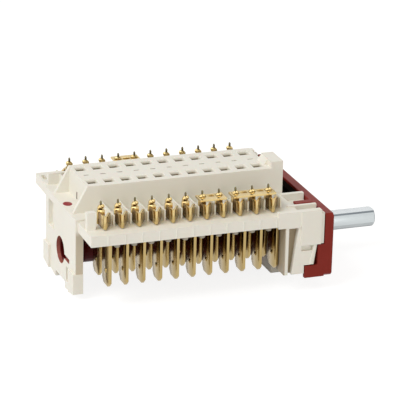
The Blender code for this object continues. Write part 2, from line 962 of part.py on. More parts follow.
def build_front_plate(parent):
    """Build the red-brown plate that closes the front, with its two feet."""
    e = PLATE_EDGE
    out = SHELF_OUT
    outline = [
        (-out + e, PLATE_LOW_Z),
        (out - e, PLATE_LOW_Z),
        (out, PLATE_LOW_Z + e),
        (out, PLATE_TOP_Z - e),
        (out - e, PLATE_TOP_Z),
        (-out + e, PLATE_TOP_Z),
        (-out, PLATE_TOP_Z - e),
        (-out, PLATE_LOW_Z + e),
    ]
    plate = prism(outline, "X", PLATE_REAR_X, PLATE_FRONT_X)
    solids = []
    foot_in = SHELF_OUT - PLATE_FOOT_THICK
    cheek_out = SHELF_OUT - BLOCK_WALL - SEAT_GAP
    for side in (-1, 1):
        solids += [
            box(
                PLATE_FOOT_START_X,
                PLATE_REAR_X + OVERLAP,
                side * foot_in,
                side * SHELF_OUT,
                PLATE_LOW_Z,
                PLATE_FOOT_TOP_Z,
            ),
            box(
                LATCH_TOP_X + SEAT_GAP,
                PLATE_REAR_X + OVERLAP,
                side * foot_in,
                side * SHELF_OUT,
                PLATE_LOW_Z,
                PANEL_LOW_Z - SEAT_GAP,
            ),
            box(
                CHEEK_START_X,
                PLATE_REAR_X + OVERLAP,
                side * (cheek_out - CHEEK_THICK),
                side * cheek_out,
                BLOCK_LOW_Z + BLOCK_WALL + SEAT_GAP,
                CHEEK_TOP_Z,
            ),
            box(
                TONGUE_START_X,
                PLATE_REAR_X + OVERLAP,
                side * TONGUE_IN,
                side * (TONGUE_IN + TONGUE_WIDTH),
                BLOCK_ROOF_Z + SEAT_GAP,
                BLOCK_ROOF_Z + SEAT_GAP + TONGUE_THICK,
            ),
        ]
    combine(plate, solids, "UNION")
    bore = circle(0.0, 0.0, SPINDLE_RADIUS + RUN_GAP, RING_POINTS)
    cutter = prism(bore, "X", PLATE_REAR_X - OVERLAP, PLATE_FRONT_X + OVERLAP)
    combine(plate, [cutter], "DIFFERENCE")
    return finish(plate, "front_plate", RED_BROWN, parent)


def even_ring(radius):
    """Return the radii of a round ring."""
    return [radius] * RING_POINTS


def cam_ring(track):
    """Return the radii of one cam track, with its lobes where the contacts close.

    The first four tracks turn their long valley to the near underside at rest; the others
    turn a lobe there, and every odd one has a second lobe across from it.
    """
    opposite = NEAR_UNDERSIDE_DEG - 180.0
    if track < OPEN_TRACKS:
        lobes = [(opposite, OPEN_SPAN_DEG + SPAN_STEP_DEG * track)]
    else:
        lobes = [(NEAR_UNDERSIDE_DEG, SHUT_SPAN_DEG + SPAN_STEP_DEG * (track % 3))]
        if track % 2:
            lobes.append((opposite, SHORT_SPAN_DEG))
    radii = []
    for i in range(RING_POINTS):
        angle = 360.0 * i / RING_POINTS
        lift = 0.0
        for centre, span in lobes:
            away = abs((angle - centre + 180.0) % 360.0 - 180.0)
            lift = max(lift, min(1.0, (span / 2.0 + CAM_RAMP_DEG - away) / CAM_RAMP_DEG))
        radii.append(CAM_LOW + (CAM_HIGH - CAM_LOW) * max(lift, 0.0))
    return radii


def star_ring():
    """Return the radii of the detent star, with a root facing straight up."""
    per_detent = RING_POINTS // DETENTS
    up = RING_POINTS // 4
    return [
        STAR_ROOT if (i - up) % per_detent == 0 else STAR_TIP for i in range(RING_POINTS)
    ]


def build_camshaft(parent):
    """Build the camshaft: rear journal, eleven tracks, front journal, star and socket."""
    tip_x = REAR_FACE_X + JOURNAL_INSET
    rings = [
        (tip_x + JOURNAL_BORE_DEPTH, even_ring(JOURNAL_BORE)),
        (tip_x, even_ring(JOURNAL_BORE)),
        (tip_x, even_ring(JOURNAL_RADIUS)),
        (WALL_FRONT_X + SEAT_GAP, even_ring(JOURNAL_RADIUS)),
        (WALL_FRONT_X + SEAT_GAP, even_ring(NECK_RADIUS)),
        (CAM_START_X - OVERLAP, even_ring(NECK_RADIUS)),
        (CAM_START_X - OVERLAP, even_ring(GROOVE_RADIUS)),
    ]
    for track in range(STATIONS):
        start = CAM_START_X + CAM_PITCH * track
        profile = cam_ring(track)
        rings += [
            (start, even_ring(GROOVE_RADIUS)),
            (start, profile),
            (start + CAM_WIDTH, profile),
            (start + CAM_WIDTH, even_ring(GROOVE_RADIUS)),
        ]
    front_x = CAM_START_X + CAM_PITCH * STATIONS
    front_x = front_x - (CAM_PITCH - CAM_WIDTH) / 2.0
    socket = SPINDLE_RADIUS + SEAT_GAP
    rings += [
        (front_x, even_ring(GROOVE_RADIUS)),
        (front_x, even_ring(CAM_HIGH)),
        (FRONT_JOURNAL_END_X, even_ring(CAM_HIGH)),
        (FRONT_JOURNAL_END_X, even_ring(NECK_FRONT_RADIUS)),
        (STAR_START_X, even_ring(NECK_FRONT_RADIUS)),
        (STAR_START_X, star_ring()),
        (STAR_END_X, star_ring()),
        (STAR_END_X, even_ring(COLLAR_RADIUS)),
        (BLOCK_END_X, even_ring(COLLAR_RADIUS)),
        (BLOCK_END_X, even_ring(socket)),
        (SPINDLE_START_X - SEAT_GAP, even_ring(socket)),
    ]
    return finish(ring_stack("camshaft", rings), "camshaft", DARK_RED, parent, smooth=True)


def build_spindle(parent):
    """Build the metal spindle, with the flat for the knob and a chamfered end."""
    rings = [
        (SPINDLE_START_X, even_ring(SPINDLE_RADIUS)),
        (SPINDLE_TIP_X - SPINDLE_CHAMFER, even_ring(SPINDLE_RADIUS)),
        (SPINDLE_TIP_X, even_ring(SPINDLE_RADIUS - SPINDLE_CHAMFER)),
    ]
    rod = ring_stack("spindle", rings)
    cutter = box(
        FLAT_START_X,
        SPINDLE_TIP_X + OVERLAP,
        -SPINDLE_RADIUS - OVERLAP,
        SPINDLE_RADIUS + OVERLAP,
        FLAT_HEIGHT,
        SPINDLE_RADIUS + OVERLAP,
    )
    combine(rod, [cutter], "DIFFERENCE")
    return finish(rod, "spindle", ZINC, parent, smooth=True)


def tab_outline(side, centre_out, top_z, extra=()):
    """Return a blade's (y, z) outline, with chamfered corners at its lower end."""
    inner = centre_out - TAB_WIDTH / 2.0
    outer = centre_out + TAB_WIDTH / 2.0
    points = [
        (inner, TAB_TIP_Z + TAB_CHAMFER),
        (inner + TAB_CHAMFER, TAB_TIP_Z),
        (outer - TAB_CHAMFER, TAB_TIP_Z),
        (outer, TAB_TIP_Z + TAB_CHAMFER),
        (outer, top_z),
    ]
    points += list(extra)
    if not extra:
        points.append((inner, top_z))
    return [(side * out, z) for out, z in points]


def tab_dimple(side, centre_out):
    """Return the raised dimple that a receptacle snaps over, on a blade's rear face."""
    outline = circle(side * centre_out, DIMPLE_Z, DIMPLE_RADIUS, CONTACT_SIDES)
    return prism(outline, "X", -SHEET / 2.0 - DIMPLE_PROUD, 0.0)


def build_outer_terminal(side):
    """Build one outer terminal about its station: blade, leaf, tab, tip and contact arm."""
    half = SHEET / 2.0
    blade_top = LEAF_LOW_Z + OVERLAP + SHEET
    inner = OUTER_TAB_OUT - TAB_WIDTH / 2.0
    neck = (
        (NECK_OUT, SEAT_TOP_Z),
        (NECK_OUT, blade_top),
        (NECK_IN, blade_top),
        (NECK_IN, SEAT_TOP_Z),
        (inner, SEAT_TOP_Z),
    )
    outline = tab_outline(side, OUTER_TAB_OUT, SEAT_TOP_Z, neck)
    blade = prism(outline, "X", -half, half)
    leaf_plan = [
        (top_x(side, LEAF_BACK_X), side * LEAF_BACK_OUT),
        (top_x(side, LEAF_NOSE_X), side * LEAF_NOSE_OUT),
        (top_x(side, LEAF_SIDE_X), side * LEAF_BACK_OUT),
    ]
    leaf = prism(thick_path(leaf_plan, LEAF_THICK), "Z", LEAF_LOW_Z, LEAF_TOP_Z)
    tip_x = top_x(side, TIP_X)
    wide = SHOULDER_WIDTH / 2.0
    head = HEAD_WIDTH / 2.0
    tip = TIP_WIDTH / 2.0
    face = [
        (-wide, LEAF_LOW_Z),
        (wide, LEAF_LOW_Z),
        (wide, SHOULDER_Z),
        (head, SHOULDER_Z),
        (head, HEAD_TOP_Z - tip),
        (tip, HEAD_TOP_Z),
        (tip, TIP_TOP_Z),
        (-tip, TIP_TOP_Z),
        (-tip, HEAD_TOP_Z),
        (-head, HEAD_TOP_Z - tip),
        (-head, SHOULDER_Z),
        (-wide, SHOULDER_Z),
    ]
    low, high = sorted((side * (TIP_OUT - half), side * (TIP_OUT + half)))
    tab = prism([(tip_x + a, b) for a, b in face], "Y", low, high)
    arm_far = ARM_OFFSET + half
    link = box(-half, arm_far, side * inner, side * (inner + SHEET), ARM_LOW_Z, SEAT_TOP_Z)
    arm = box(
        ARM_OFFSET - half,
        arm_far,
        side * ARM_IN,
        side * (inner + SHEET / 2.0),
        ARM_LOW_Z,
        SEAT_TOP_Z,
    )
    contact = prism(
        circle(ARM_OFFSET, side * CONTACT_OUT, CONTACT_RADIUS, CONTACT_SIDES),
        "Z",
        FIXED_CONTACT_LOW_Z,
        ARM_LOW_Z + OVERLAP,
    )
    dimple = tab_dimple(side, OUTER_TAB_OUT)
    return combine(blade, [leaf, tab, link, arm, contact, dimple], "UNION")


def spring_path(side):
    """Return the (y, z) points of a contact spring, with its knuckle over the cam."""
    knuckle = CAM_CLEAR + SPRING_THICK
    turn = math.radians(KNUCKLE_DEG)
    path = [
        (SPRING_ROOT_OUT, SPRING_ROOT_Z),
        (SPRING_BEND_OUT, SPRING_ROOT_Z),
        (knuckle * math.cos(turn), knuckle * math.sin(turn)),
        (SPRING_RISE_OUT, SPRING_TIP_Z),
        (SPRING_TIP_OUT, SPRING_TIP_Z),
    ]
    return [(side * out, z) for out, z in path]


def build_inner_terminal(side):
    """Build one inner terminal about its station: blade, seat tongue and contact spring."""
    half = SHEET / 2.0
    inner = INNER_TAB_OUT - TAB_WIDTH / 2.0
    seat_in = SPRING_ROOT_OUT + SEAT_GAP
    blade_top = SHELF_LOW_Z - SEAT_GAP
    shoulder = ((seat_in, SEAT_TOP_Z), (seat_in, blade_top), (inner, blade_top))
    outline = tab_outline(side, INNER_TAB_OUT, SEAT_TOP_Z, shoulder)
    blade = prism(outline, "X", -half, half)
    spring = prism(
        thick_path(spring_path(side), SPRING_THICK), "X", SPRING_START_X - OVERLAP / 4.0, SPRING_END_X
    )
    contact = prism(
        circle(ARM_OFFSET - OVERLAP, side * CONTACT_OUT, CONTACT_RADIUS, CONTACT_SIDES),
        "Z",
        SPRING_TIP_Z,
        FIXED_CONTACT_LOW_Z - SEAT_GAP,
    )
    dimple = tab_dimple(side, INNER_TAB_OUT)
    return combine(blade, [spring, contact, dimple], "UNION")


def build_terminals(parent):
    """Build both rows of terminals on both sides."""
    for side, row in ((-1, "near"), (1, "far")):
        for kind, maker in (("outer", build_outer_terminal), ("inner", build_inner_terminal)):
            first = maker(side)
            places = [(station_x(side, i), 0.0, 0.0) for i in range(STATIONS)]
            finish(first, f"{row}_{kind}_terminal_01", BRASS, parent, places[0])
            for i, place in enumerate(places[1:], start=2):
                copy_of(first, f"{row}_{kind}_terminal_{i:02d}", parent, place)


def build_bridge(name, side, first, last, parent):
    """Build a strip that joins neighbouring tabs, from one station to another."""
    tips = [station_x(side, i) + top_x(side, TIP_X) for i in range(first, last + 1)]
    low_z = SHOULDER_Z + SEAT_GAP
    high_z = low_z + BRIDGE_THICK
    strip = box(
        tips[0] - BRIDGE_OVERHANG,
        tips[-1] + BRIDGE_OVERHANG,
        side * BRIDGE_IN,
        side * BRIDGE_OUT,
        low_z,
        high_z,
    )
    cutters = []
    half_head = HEAD_WIDTH / 2.0 + SEAT_GAP
    half_sheet = SHEET / 2.0 + SEAT_GAP
    for x in tips:
        cutters.append(
            box(
                x - half_head,
                x + half_head,
                side * (TIP_OUT - half_sheet),
                side * (TIP_OUT + half_sheet),
                low_z - OVERLAP,
                high_z + OVERLAP,
            )
        )
    for x in tips[:-1]:
        middle = x + PITCH / 2.0
        cutters.append(
            box(
                middle - BRIDGE_SLOT_LENGTH / 2.0,
                middle + BRIDGE_SLOT_LENGTH / 2.0,
                side * (TIP_OUT - BRIDGE_SLOT_WIDTH / 2.0),
                side * (TIP_OUT + BRIDGE_SLOT_WIDTH / 2.0),
                low_z - OVERLAP,
                high_z + OVERLAP,
            )
        )
    combine(strip, cutters, "DIFFERENCE")
    return finish(strip, name, BRASS, parent)


def build_detent(parent):
    """Build the spring that snaps into the star and the carrier that holds it."""
    spring_z = STAR_TIP + 1.0 + DETENT_SPRING_THICK / 2.0
    nose_z = STAR_ROOT + SEAT_GAP + DETENT_SPRING_THICK / 2.0
    path = [
        (-DETENT_SPRING_OUT, spring_z),
        (-DETENT_NOSE_OUT, spring_z),
        (-DETENT_NOSE_FLAT, nose_z),
        (DETENT_NOSE_FLAT, nose_z),
        (DETENT_NOSE_OUT, spring_z),
        (DETENT_SPRING_OUT, spring_z),
    ]
    spring = prism(
        thick_path(path, DETENT_SPRING_THICK),
        "X",
        STAR_START_X + DETENT_SPRING_MARGIN,
        STAR_END_X - DETENT_SPRING_MARGIN,
    )
    finish(spring, "detent_spring", STEEL, parent)
    out = CHEST_OUT - CHEST_WALL - SEAT_GAP
    start = CHEST_OPEN_X + SEAT_GAP
    end = BLOCK_END_X - SEAT_GAP
    carrier = box(start, end, -out, out, CARRIER_LOW_Z, CARRIER_TOP_Z)
    slot = box(
        start + CARRIER_SLOT,
        end - CARRIER_SLOT,
        -DETENT_SPRING_OUT,
        DETENT_SPRING_OUT,
        CARRIER_LOW_Z + CARRIER_SLOT,
        CARRIER_TOP_Z + OVERLAP,
    )
    combine(carrier, [slot], "DIFFERENCE")
    finish(carrier, "detent_carrier", BLACK, parent)


def main():
    """Build every piece under one empty that stands on the spindle's axis."""
    clear_scene()
    axis = bpy.data.objects.new("spindle_axis", None)
    axis.location = (-ORIGIN_X * MM, 0.0, -BASE_Z * MM)
    bpy.context.scene.collection.objects.link(axis)
    build_housing(axis)
    build_front_plate(axis)
    build_camshaft(axis)
    build_spindle(axis)
    build_terminals(axis)
    build_bridge("near_bridge_2", -1, 6, 7, axis)
    build_bridge("near_bridge_3", -1, 8, 10, axis)
    build_bridge("far_bridge_2", 1, 3, 4, axis)
    build_detent(axis)


main()
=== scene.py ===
"""Looks of the oven switch: moulded housing, folded brass terminals, camshaft and spindle.

Sizes are in millimetres in the spindle's own frame, as in the part's source: X runs along the
spindle, Y to the far side and Z up, from the spindle's axis. at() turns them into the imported
model's frame, in metres.
"""

from __future__ import annotations

import logging
import math
from contextlib import contextmanager
from dataclasses import dataclass, field
from enum import Enum
from typing import Callable, Iterator, Sequence

import bmesh
import bpy
from mathutils import Matrix, Vector

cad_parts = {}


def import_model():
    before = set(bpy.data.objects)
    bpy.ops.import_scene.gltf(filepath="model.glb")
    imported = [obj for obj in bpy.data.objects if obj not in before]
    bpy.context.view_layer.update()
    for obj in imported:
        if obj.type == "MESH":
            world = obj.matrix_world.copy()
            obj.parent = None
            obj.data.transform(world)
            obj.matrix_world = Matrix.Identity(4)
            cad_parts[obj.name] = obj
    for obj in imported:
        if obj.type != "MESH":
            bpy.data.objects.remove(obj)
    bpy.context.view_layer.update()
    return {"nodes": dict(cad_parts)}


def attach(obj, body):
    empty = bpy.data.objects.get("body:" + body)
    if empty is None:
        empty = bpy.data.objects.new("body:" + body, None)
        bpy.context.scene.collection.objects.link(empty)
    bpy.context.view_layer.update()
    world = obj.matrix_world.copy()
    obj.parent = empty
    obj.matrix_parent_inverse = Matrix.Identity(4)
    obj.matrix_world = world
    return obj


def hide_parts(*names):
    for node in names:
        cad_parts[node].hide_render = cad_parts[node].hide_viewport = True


LOG = logging.getLogger("oven_switch")
MM = 0.001
ORIGIN_X = 42.23
AXIS_Z = 9.9
STATIONS = 11
PITCH = 5.0

# How near a place in millimetres, or a direction as a share, counts as the same
SNAP = 0.05
BESIDE = 0.2
ALONG = 0.9
ACROSS = 0.5
LEVEL = 0.1

# Faces in a rounded edge, sides and rings of small round pieces, degrees that shade as round
COARSE, MIDDLE, FINE = 2, 3, 6
SMALL_SIDES = 20
BEAD_RINGS = 10
ROUNDED = 80.0

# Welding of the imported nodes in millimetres, and degrees within which their faces are one
WELD_REACH = 0.001
FLAT_ANGLE = 0.5

# Noise detail, reach of relief and of scattering in millimetres, least roughness
PATCH_DETAIL = 4.0
GRAIN_DETAIL = 3.0
BUMP_REACH = 0.1
SCATTER_REACH = 1.0
LEAST_ROUGHNESS = 0.02
WHITE = (1.0, 1.0, 1.0, 1.0)

Pair = tuple[float, float]
Triple = tuple[float, float, float]
Point = Sequence[float]
Nodes = dict[str, bpy.types.Object]
Test = Callable[[Vector, Vector], bool]


class Side(Enum):
    """Which row of terminals a piece belongs to; the value is the sign of Y."""

    NEAR = -1
    FAR = 1

    @property
    def first_x(self) -> float:
        """X of the first blade of this row."""
        return 1.36 if self is Side.NEAR else 0.71

    def fold(self, offset: float) -> float:
        """Turn an X offset above the shelf, which the far row has the other way round."""
        return offset if self is Side.NEAR else -offset


class Rows(Enum):
    """The two terminals that every station has."""

    OUTER = "outer"
    INNER = "inner"


class Kind(Enum):
    """What is selected in edit mode; the value is Blender's word for it."""

    FACE = "FACE"
    EDGE = "EDGE"
    VERT = "VERT"


class Way(Enum):
    """Which way a rod points; the value is its turn from upright."""

    UP = (0.0, 0.0, 0.0)
    ALONG = (0.0, math.pi / 2.0, 0.0)


def at(x: float, y: float, z: float) -> Vector:
    """Turn millimetres in the spindle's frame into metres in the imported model's frame.

    Args:
        x: Along the spindle.
        y: Towards the far side.
        z: Up from the spindle's axis.

    Returns:
        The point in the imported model's frame.
    """
    return Vector(((x - ORIGIN_X) * MM, y * MM, (z + AXIS_Z) * MM))


# Modelling by hand


def focus(*items: bpy.types.Object) -> None:
    """Select only these objects and make the first one active.

    Args:
        items: Objects to select.
    """
    if bpy.context.mode != "OBJECT":
        bpy.ops.object.mode_set(mode="OBJECT")
    bpy.ops.object.select_all(action="DESELECT")
    for item in items:
        item.select_set(True)
    bpy.context.view_layer.objects.active = items[0]


def settle(item: bpy.types.Object, name: str) -> bpy.types.Object:
    """Name an object and put its place, turn and scale into its mesh.

    Args:
        item: The object.
        name: Its name and its mesh's name.

    Returns:
        The object.
    """
    item.name = name
    item.data.name = name
    focus(item)
    bpy.ops.object.transform_apply(location=True, rotation=True, scale=True)
    return item


def block(name: str, low: Point, high: Point) -> bpy.types.Object:
    """Add a block between two corners, ready to be shaped.

    Args:
        name: The block's name.
        low: One corner in millimetres.
        high: The corner across from it.

    Returns:
        The block.
    """
    a, b = at(*low), at(*high)
    size = [abs(q - p) for p, q in zip(a, b)]
    bpy.ops.mesh.primitive_cube_add(size=1.0, location=(a + b) / 2.0, scale=size)
    return settle(bpy.context.object, name)


def rod(
    name: str,
    centre: Point,
    radius: float,
    length: float,
    way: Way = Way.UP,
    sides: int = SMALL_SIDES,
) -> bpy.types.Object:
    """Add a round rod about its centre.

    Args:
        name: The rod's name.
        centre: Its centre in millimetres.
        radius: Its radius in millimetres.
        length: Its length in millimetres.
        way: Which way it points.
        sides: How many flat sides stand for its round.

    Returns:
        The rod.
    """
    bpy.ops.mesh.primitive_cylinder_add(
        vertices=sides,
        radius=radius * MM,
        depth=length * MM,
        location=at(*centre),
        rotation=way.value,
    )
    return settle(bpy.context.object, name)


def sheet_panel(
    name: str, start: Point, end: Point, low: float, high: float
) -> bpy.types.Object:
    """Add an upright flat panel over a line in plan, with no thickness yet.

    Args:
        name: The panel's name.
        start: (x, y) where the panel begins.
        end: (x, y) where the panel ends.
        low: Z of the lower edge.
        high: Z of the upper edge.

    Returns:
        The panel.
    """
    a, b = at(*start, low), at(*end, high)
    run = Vector((b.x - a.x, b.y - a.y, 0.0))
    turn = math.atan2(run.y, run.x)
    bpy.ops.mesh.primitive_plane_add(
        size=1.0, location=(a + b) / 2.0, rotation=(math.pi / 2.0, 0.0, turn)
    )
    item = bpy.context.object
    item.scale = (run.length, (high - low) * MM, 1.0)
    return settle(item, name)


@contextmanager
def shaping(item: bpy.types.Object) -> Iterator[bpy.types.Object]:
    """Open an object in edit mode with nothing selected, and close it again.

    Args:
        item: The object.

    Yields:
        The object, open in edit mode.
    """
    focus(item)
    bpy.ops.object.mode_set(mode="EDIT")
    bpy.ops.mesh.select_all(action="DESELECT")
    try:
        yield item
    finally:
        bpy.ops.object.mode_set(mode="OBJECT")


def choose(item: bpy.types.Object, kind: Kind, test: Test) -> None:
    """Select the faces, edges or corners whose place passes a test, in edit mode.

    Args:
        item: The object that is open in edit mode.
        kind: Faces, edges or corners.
        test: Called with a middle point in millimetres from the spindle's frame, and with a
            face's normal, an edge's direction or a corner's normal.
    """
    bpy.ops.mesh.select_mode(type=kind.value)
    bpy.ops.mesh.select_all(action="DESELECT")
    bm = bmesh.from_edit_mesh(item.data)
    shift = Vector((ORIGIN_X, 0.0, -AXIS_Z))
    pools = {Kind.FACE: bm.faces, Kind.EDGE: bm.edges, Kind.VERT: bm.verts}
    for part in pools[kind]:
        if kind is Kind.FACE:
            middle, way = part.calc_center_median(), part.normal
        elif kind is Kind.EDGE:
            one, two = (v.co for v in part.verts)
            middle, way = (one + two) / 2.0, (two - one).normalized()
        else:
            middle, way = part.co, part.normal
        if test(middle / MM + shift, way):
            part.select = True
    bm.select_flush_mode()
    bmesh.update_edit_mesh(item.data)


def facing_up(point: Vector, normal: Vector) -> bool:
    """Say whether a face looks straight up."""
    return normal.z > ALONG


def facing_down(point: Vector, normal: Vector) -> bool:
    """Say whether a face looks straight down."""
    return normal.z < -ALONG


def level_at(height: float) -> Test:
    """Return a test for level edges at one height in millimetres."""
    return lambda p, d: abs(p.z - height) < SNAP and abs(d.z) < LEVEL


def beside(spot: Point) -> Callable[[Vector], bool]:
    """Return a test for points that are beside a spot, seen from above."""
    return lambda p: math.hypot(p.x - spot[0], p.y - spot[1]) < BESIDE


def pull(step: Point) -> None:
    """Extrude what is selected by a step in millimetres."""
    bpy.ops.mesh.extrude_region_move(TRANSFORM_OT_translate={"value": [s * MM for s in step]})


def narrow(factor: Point, centre: Point) -> None:
    """Scale what is selected about a point given in millimetres."""
    bpy.ops.transform.resize(value=factor, center_override=at(*centre))


def round_off(width: float, segments: int, corners: bool = False) -> None:
    """Bevel the selected edges or corners by a width in millimetres."""
    kind = "VERTICES" if corners else "EDGES"
    bpy.ops.mesh.bevel(offset=width * MM, segments=segments, affect=kind, profile=0.5)


def apply_modifier(item: bpy.types.Object, kind: str, **settings: object) -> None:
    """Add a modifier with its settings and apply it.

    Args:
        item: The object.
        kind: Blender's word for the modifier.
        settings: The modifier's settings by name.
    """
    focus(item)
    step = item.modifiers.new(kind.lower(), kind)
    for key, value in settings.items():
        setattr(step, key, value)
    bpy.ops.object.modifier_apply(modifier=step.name)


def soften(item: bpy.types.Object, width: float, angle: float = 35.0) -> bpy.types.Object:
    """Break every sharp edge of a finished shape and shade it.

    Args:
        item: The object.
        width: Width of the broken edge in millimetres.
        angle: Edges sharper than this, in degrees, are broken.

    Returns:
        The object.
    """
    apply_modifier(
        item,
        "BEVEL",
        width=width * MM,
        segments=COARSE,
        limit_method="ANGLE",
        angle_limit=math.radians(angle),
        harden_normals=False,
        miter_outer="MITER_ARC",
    )
    return shade(item)


def shade(item: bpy.types.Object, angle: float = 40.0) -> bpy.types.Object:
    """Shade an object smooth, with its sharp edges kept crisp.

    Args:
        item: The object.
        angle: Edges sharper than this, in degrees, stay crisp.

    Returns:
        The object.
    """
    focus(item)
    bpy.ops.object.shade_smooth_by_angle(angle=math.radians(angle))
    return item


def cut_from(item: bpy.types.Object, cutter: bpy.types.Object) -> None:
    """Cut one object from another and remove the cutter."""
    apply_modifier(item, "BOOLEAN", operation="DIFFERENCE", object=cutter, solver="EXACT")
    bpy.data.objects.remove(cutter, do_unlink=True)


def join(name: str, *parts: bpy.types.Object) -> bpy.types.Object:
    """Join objects into the first one.

    Args:
        name: The joined object's name.
        parts: The objects, of which the first one stays.

    Returns:
        The joined object.
    """
    focus(*parts)
    bpy.ops.object.join()
    made = bpy.context.object
    made.name = name
    made.data.name = name
    return made


def copy_to(item: bpy.types.Object, name: str, step_x: float) -> bpy.types.Object:
    """Copy an object with a mesh of its own, which is moved along the spindle.

    Args:
        item: The object.
        name: The copy's name.
        step_x: How far the copy's mesh is moved, in millimetres.

    Returns:
        The copy.
    """
    twin = item.copy()
    twin.data = item.data.copy()
    twin.data.transform(Matrix.Translation((step_x * MM, 0.0, 0.0)))
    twin.name = name
    twin.data.name = name
    bpy.context.scene.collection.objects.link(twin)
    return twin


# Finishes


@dataclass(frozen=True)
class Finish:
    """A surface: its colour with slow variation, its gloss and its fine relief.

    Attributes:
        name: The material's name.
        slot: A name for the group of pieces with this finish; not used.
        colour: The main colour.
        tint: The colour of the patches.
        roughness: The middle roughness.
        metallic: 1 for bare metal, 0 for plastic and paint.
        patch_size: Size of the slow patches in millimetres.
        gloss_spread: How far the roughness strays to either side.
        relief: Strength of the fine grain.
        grain: Size of the fine grain in millimetres.
        stretch: How much finer the patterns are along X, Y and Z.
        specular: Level of the mirror-like part.
        sub_surface: Share of the light that passes under the surface.
    """

    name: str
    slot: str
    colour: Triple
    tint: Triple
    roughness: float
    metallic: float = 0.0
    patch_size: float = 6.0
    gloss_spread: float = 0.08
    relief: float = 0.05
    grain: float = 0.25
    stretch: Triple = (1.0, 1.0, 1.0)
    specular: float = 0.5
    sub_surface: float = 0.0

    def material(self) -> bpy.types.Material:
        """Return the material, made the first time it is asked for."""
        found = bpy.data.materials.get(self.name)
        return found if found else self._make()

    def _make(self) -> bpy.types.Material:
        """Build the nodes: slow patches for colour and gloss, fine grain for relief.

        Returns:
            The material.
        """
        made = bpy.data.materials.new(self.name)
        made.use_nodes = True
        nodes, links = made.node_tree.nodes, made.node_tree.links
        shader = nodes["Principled BSDF"]
        shader.inputs["Metallic"].default_value = self.metallic
        shader.inputs["Specular IOR Level"].default_value = self.specular
        shader.inputs["Subsurface Weight"].default_value = self.sub_surface
        shader.inputs["Subsurface Scale"].default_value = SCATTER_REACH * MM
        place = nodes.new("ShaderNodeTexCoord")
        fit = nodes.new("ShaderNodeMapping")
        fit.inputs["Scale"].default_value = self.stretch
        links.new(place.outputs["Object"], fit.inputs["Vector"])
        patches = nodes.new("ShaderNodeTexNoise")
        patches.inputs["Scale"].default_value = 1.0 / (self.patch_size * MM)
        patches.inputs["Detail"].default_value = PATCH_DETAIL
        links.new(fit.outputs["Vector"], patches.inputs["Vector"])
        blend = nodes.new("ShaderNodeMix")
        blend.data_type = "RGBA"
        blend.inputs["A"].default_value = (*self.colour, 1.0)
        blend.inputs["B"].default_value = (*self.tint, 1.0)
        links.new(patches.outputs["Fac"], blend.inputs["Factor"])
        links.new(blend.outputs["Result"], shader.inputs["Base Color"])
        gloss = nodes.new("ShaderNodeMapRange")
        lowest = max(self.roughness - self.gloss_spread, LEAST_ROUGHNESS)
        gloss.inputs["To Min"].default_value = lowest
        gloss.inputs["To Max"].default_value = self.roughness + self.gloss_spread
        links.new(patches.outputs["Fac"], gloss.inputs["Value"])
        links.new(gloss.outputs["Result"], shader.inputs["Roughness"])
        grain = nodes.new("ShaderNodeTexNoise")
        grain.inputs["Scale"].default_value = 1.0 / (self.grain * MM)
        grain.inputs["Detail"].default_value = GRAIN_DETAIL
        links.new(fit.outputs["Vector"], grain.inputs["Vector"])
        bump = nodes.new("ShaderNodeBump")
        bump.inputs["Strength"].default_value = self.relief
        bump.inputs["Distance"].default_value = BUMP_REACH * MM
        links.new(grain.outputs["Fac"], bump.inputs["Height"])
        links.new(bump.outputs["Normal"], shader.inputs["Normal"])
        return made

    def dress(self, item: bpy.types.Object) -> bpy.types.Object:
        """Give an object this finish all over.

        Args:
            item: The object.

        Returns:
            The object.
        """
        if item.data.materials:
            for i in range(len(item.data.materials)):
                item.data.materials[i] = self.material()
        else:
            item.data.materials.append(self.material())
        return item


CREAM = Finish(
    "cream_moulding",
    "cream",
    (0.86, 0.835, 0.755),
    (0.82, 0.79, 0.70),
    roughness=0.42,
    relief=0.04,
    patch_size=9.0,
    specular=0.4,
    sub_surface=0.05,
)
PLATE_RED = Finish(
    "red_brown_moulding",
    "red_brown",
    (0.25, 0.026, 0.017),
    (0.20, 0.020, 0.013),
    roughness=0.4,
    specular=0.12,
)
# The camshaft's dark red, made darker than its lit red: painted shade between the blades.
CAM_RED_IN_SHADE = Finish(
    "dark_red_moulding",
    "dark_red",
    (0.10, 0.003, 0.003),
    (0.06, 0.002, 0.002),
    roughness=0.34,
    specular=0.10,
)
# Near-black carrier: black moulding, darkened further as painted shade of the deep chamber it sits
# in.
CARRIER_BLACK_AND_SHADE = Finish(
    "black_moulding", "black", (0.007, 0.005, 0.004), (0.012, 0.009, 0.007), 0.8, specular=0.0
)
BRASS = Finish(
    "brass_sheet",
    "brass",
    (0.74, 0.58, 0.29),
    (0.60, 0.45, 0.20),
    roughness=0.19,
    metallic=1.0,
    patch_size=1.6,
    relief=0.12,
    grain=0.4,
    stretch=(1.0, 1.0, 0.25),
)
# Darker brass of the blades: painted shade and painted dark reflections of the camshaft.
BLADE_BRASS_IN_SHADE = Finish(
    "blade_brass",
    "brass",
    (0.54, 0.41, 0.19),
    (0.38, 0.27, 0.10),
    roughness=0.19,
    metallic=1.0,
    patch_size=1.6,
    relief=0.12,
    grain=0.4,
    stretch=(1.0, 1.0, 0.25),
)
# Lighter, less metallic brass of the leaf's outer panel: painted light.
LEAF_BRASS_LIT = Finish(
    "leaf_brass",
    "brass",
    (0.84, 0.65, 0.32),
    (0.70, 0.51, 0.22),
    roughness=0.38,
    metallic=0.4,
    patch_size=1.2,
)
SHADE_BRASS = Finish(
    "brass_in_shade",
    "brass",
    (0.40, 0.27, 0.11),
    (0.22, 0.13, 0.045),
    roughness=0.25,
    metallic=1.0,
    patch_size=0.7,
    stretch=(1.0, 1.0, 0.15),
)
# Near-black brass of the prong: painted dark reflection.
PRONG_BRASS_REFLECTION = Finish(
    "cut_brass",
    "brass",
    (0.20, 0.17, 0.09),
    (0.12, 0.10, 0.05),
    roughness=0.35,
    metallic=1.0,
    patch_size=0.8,
)
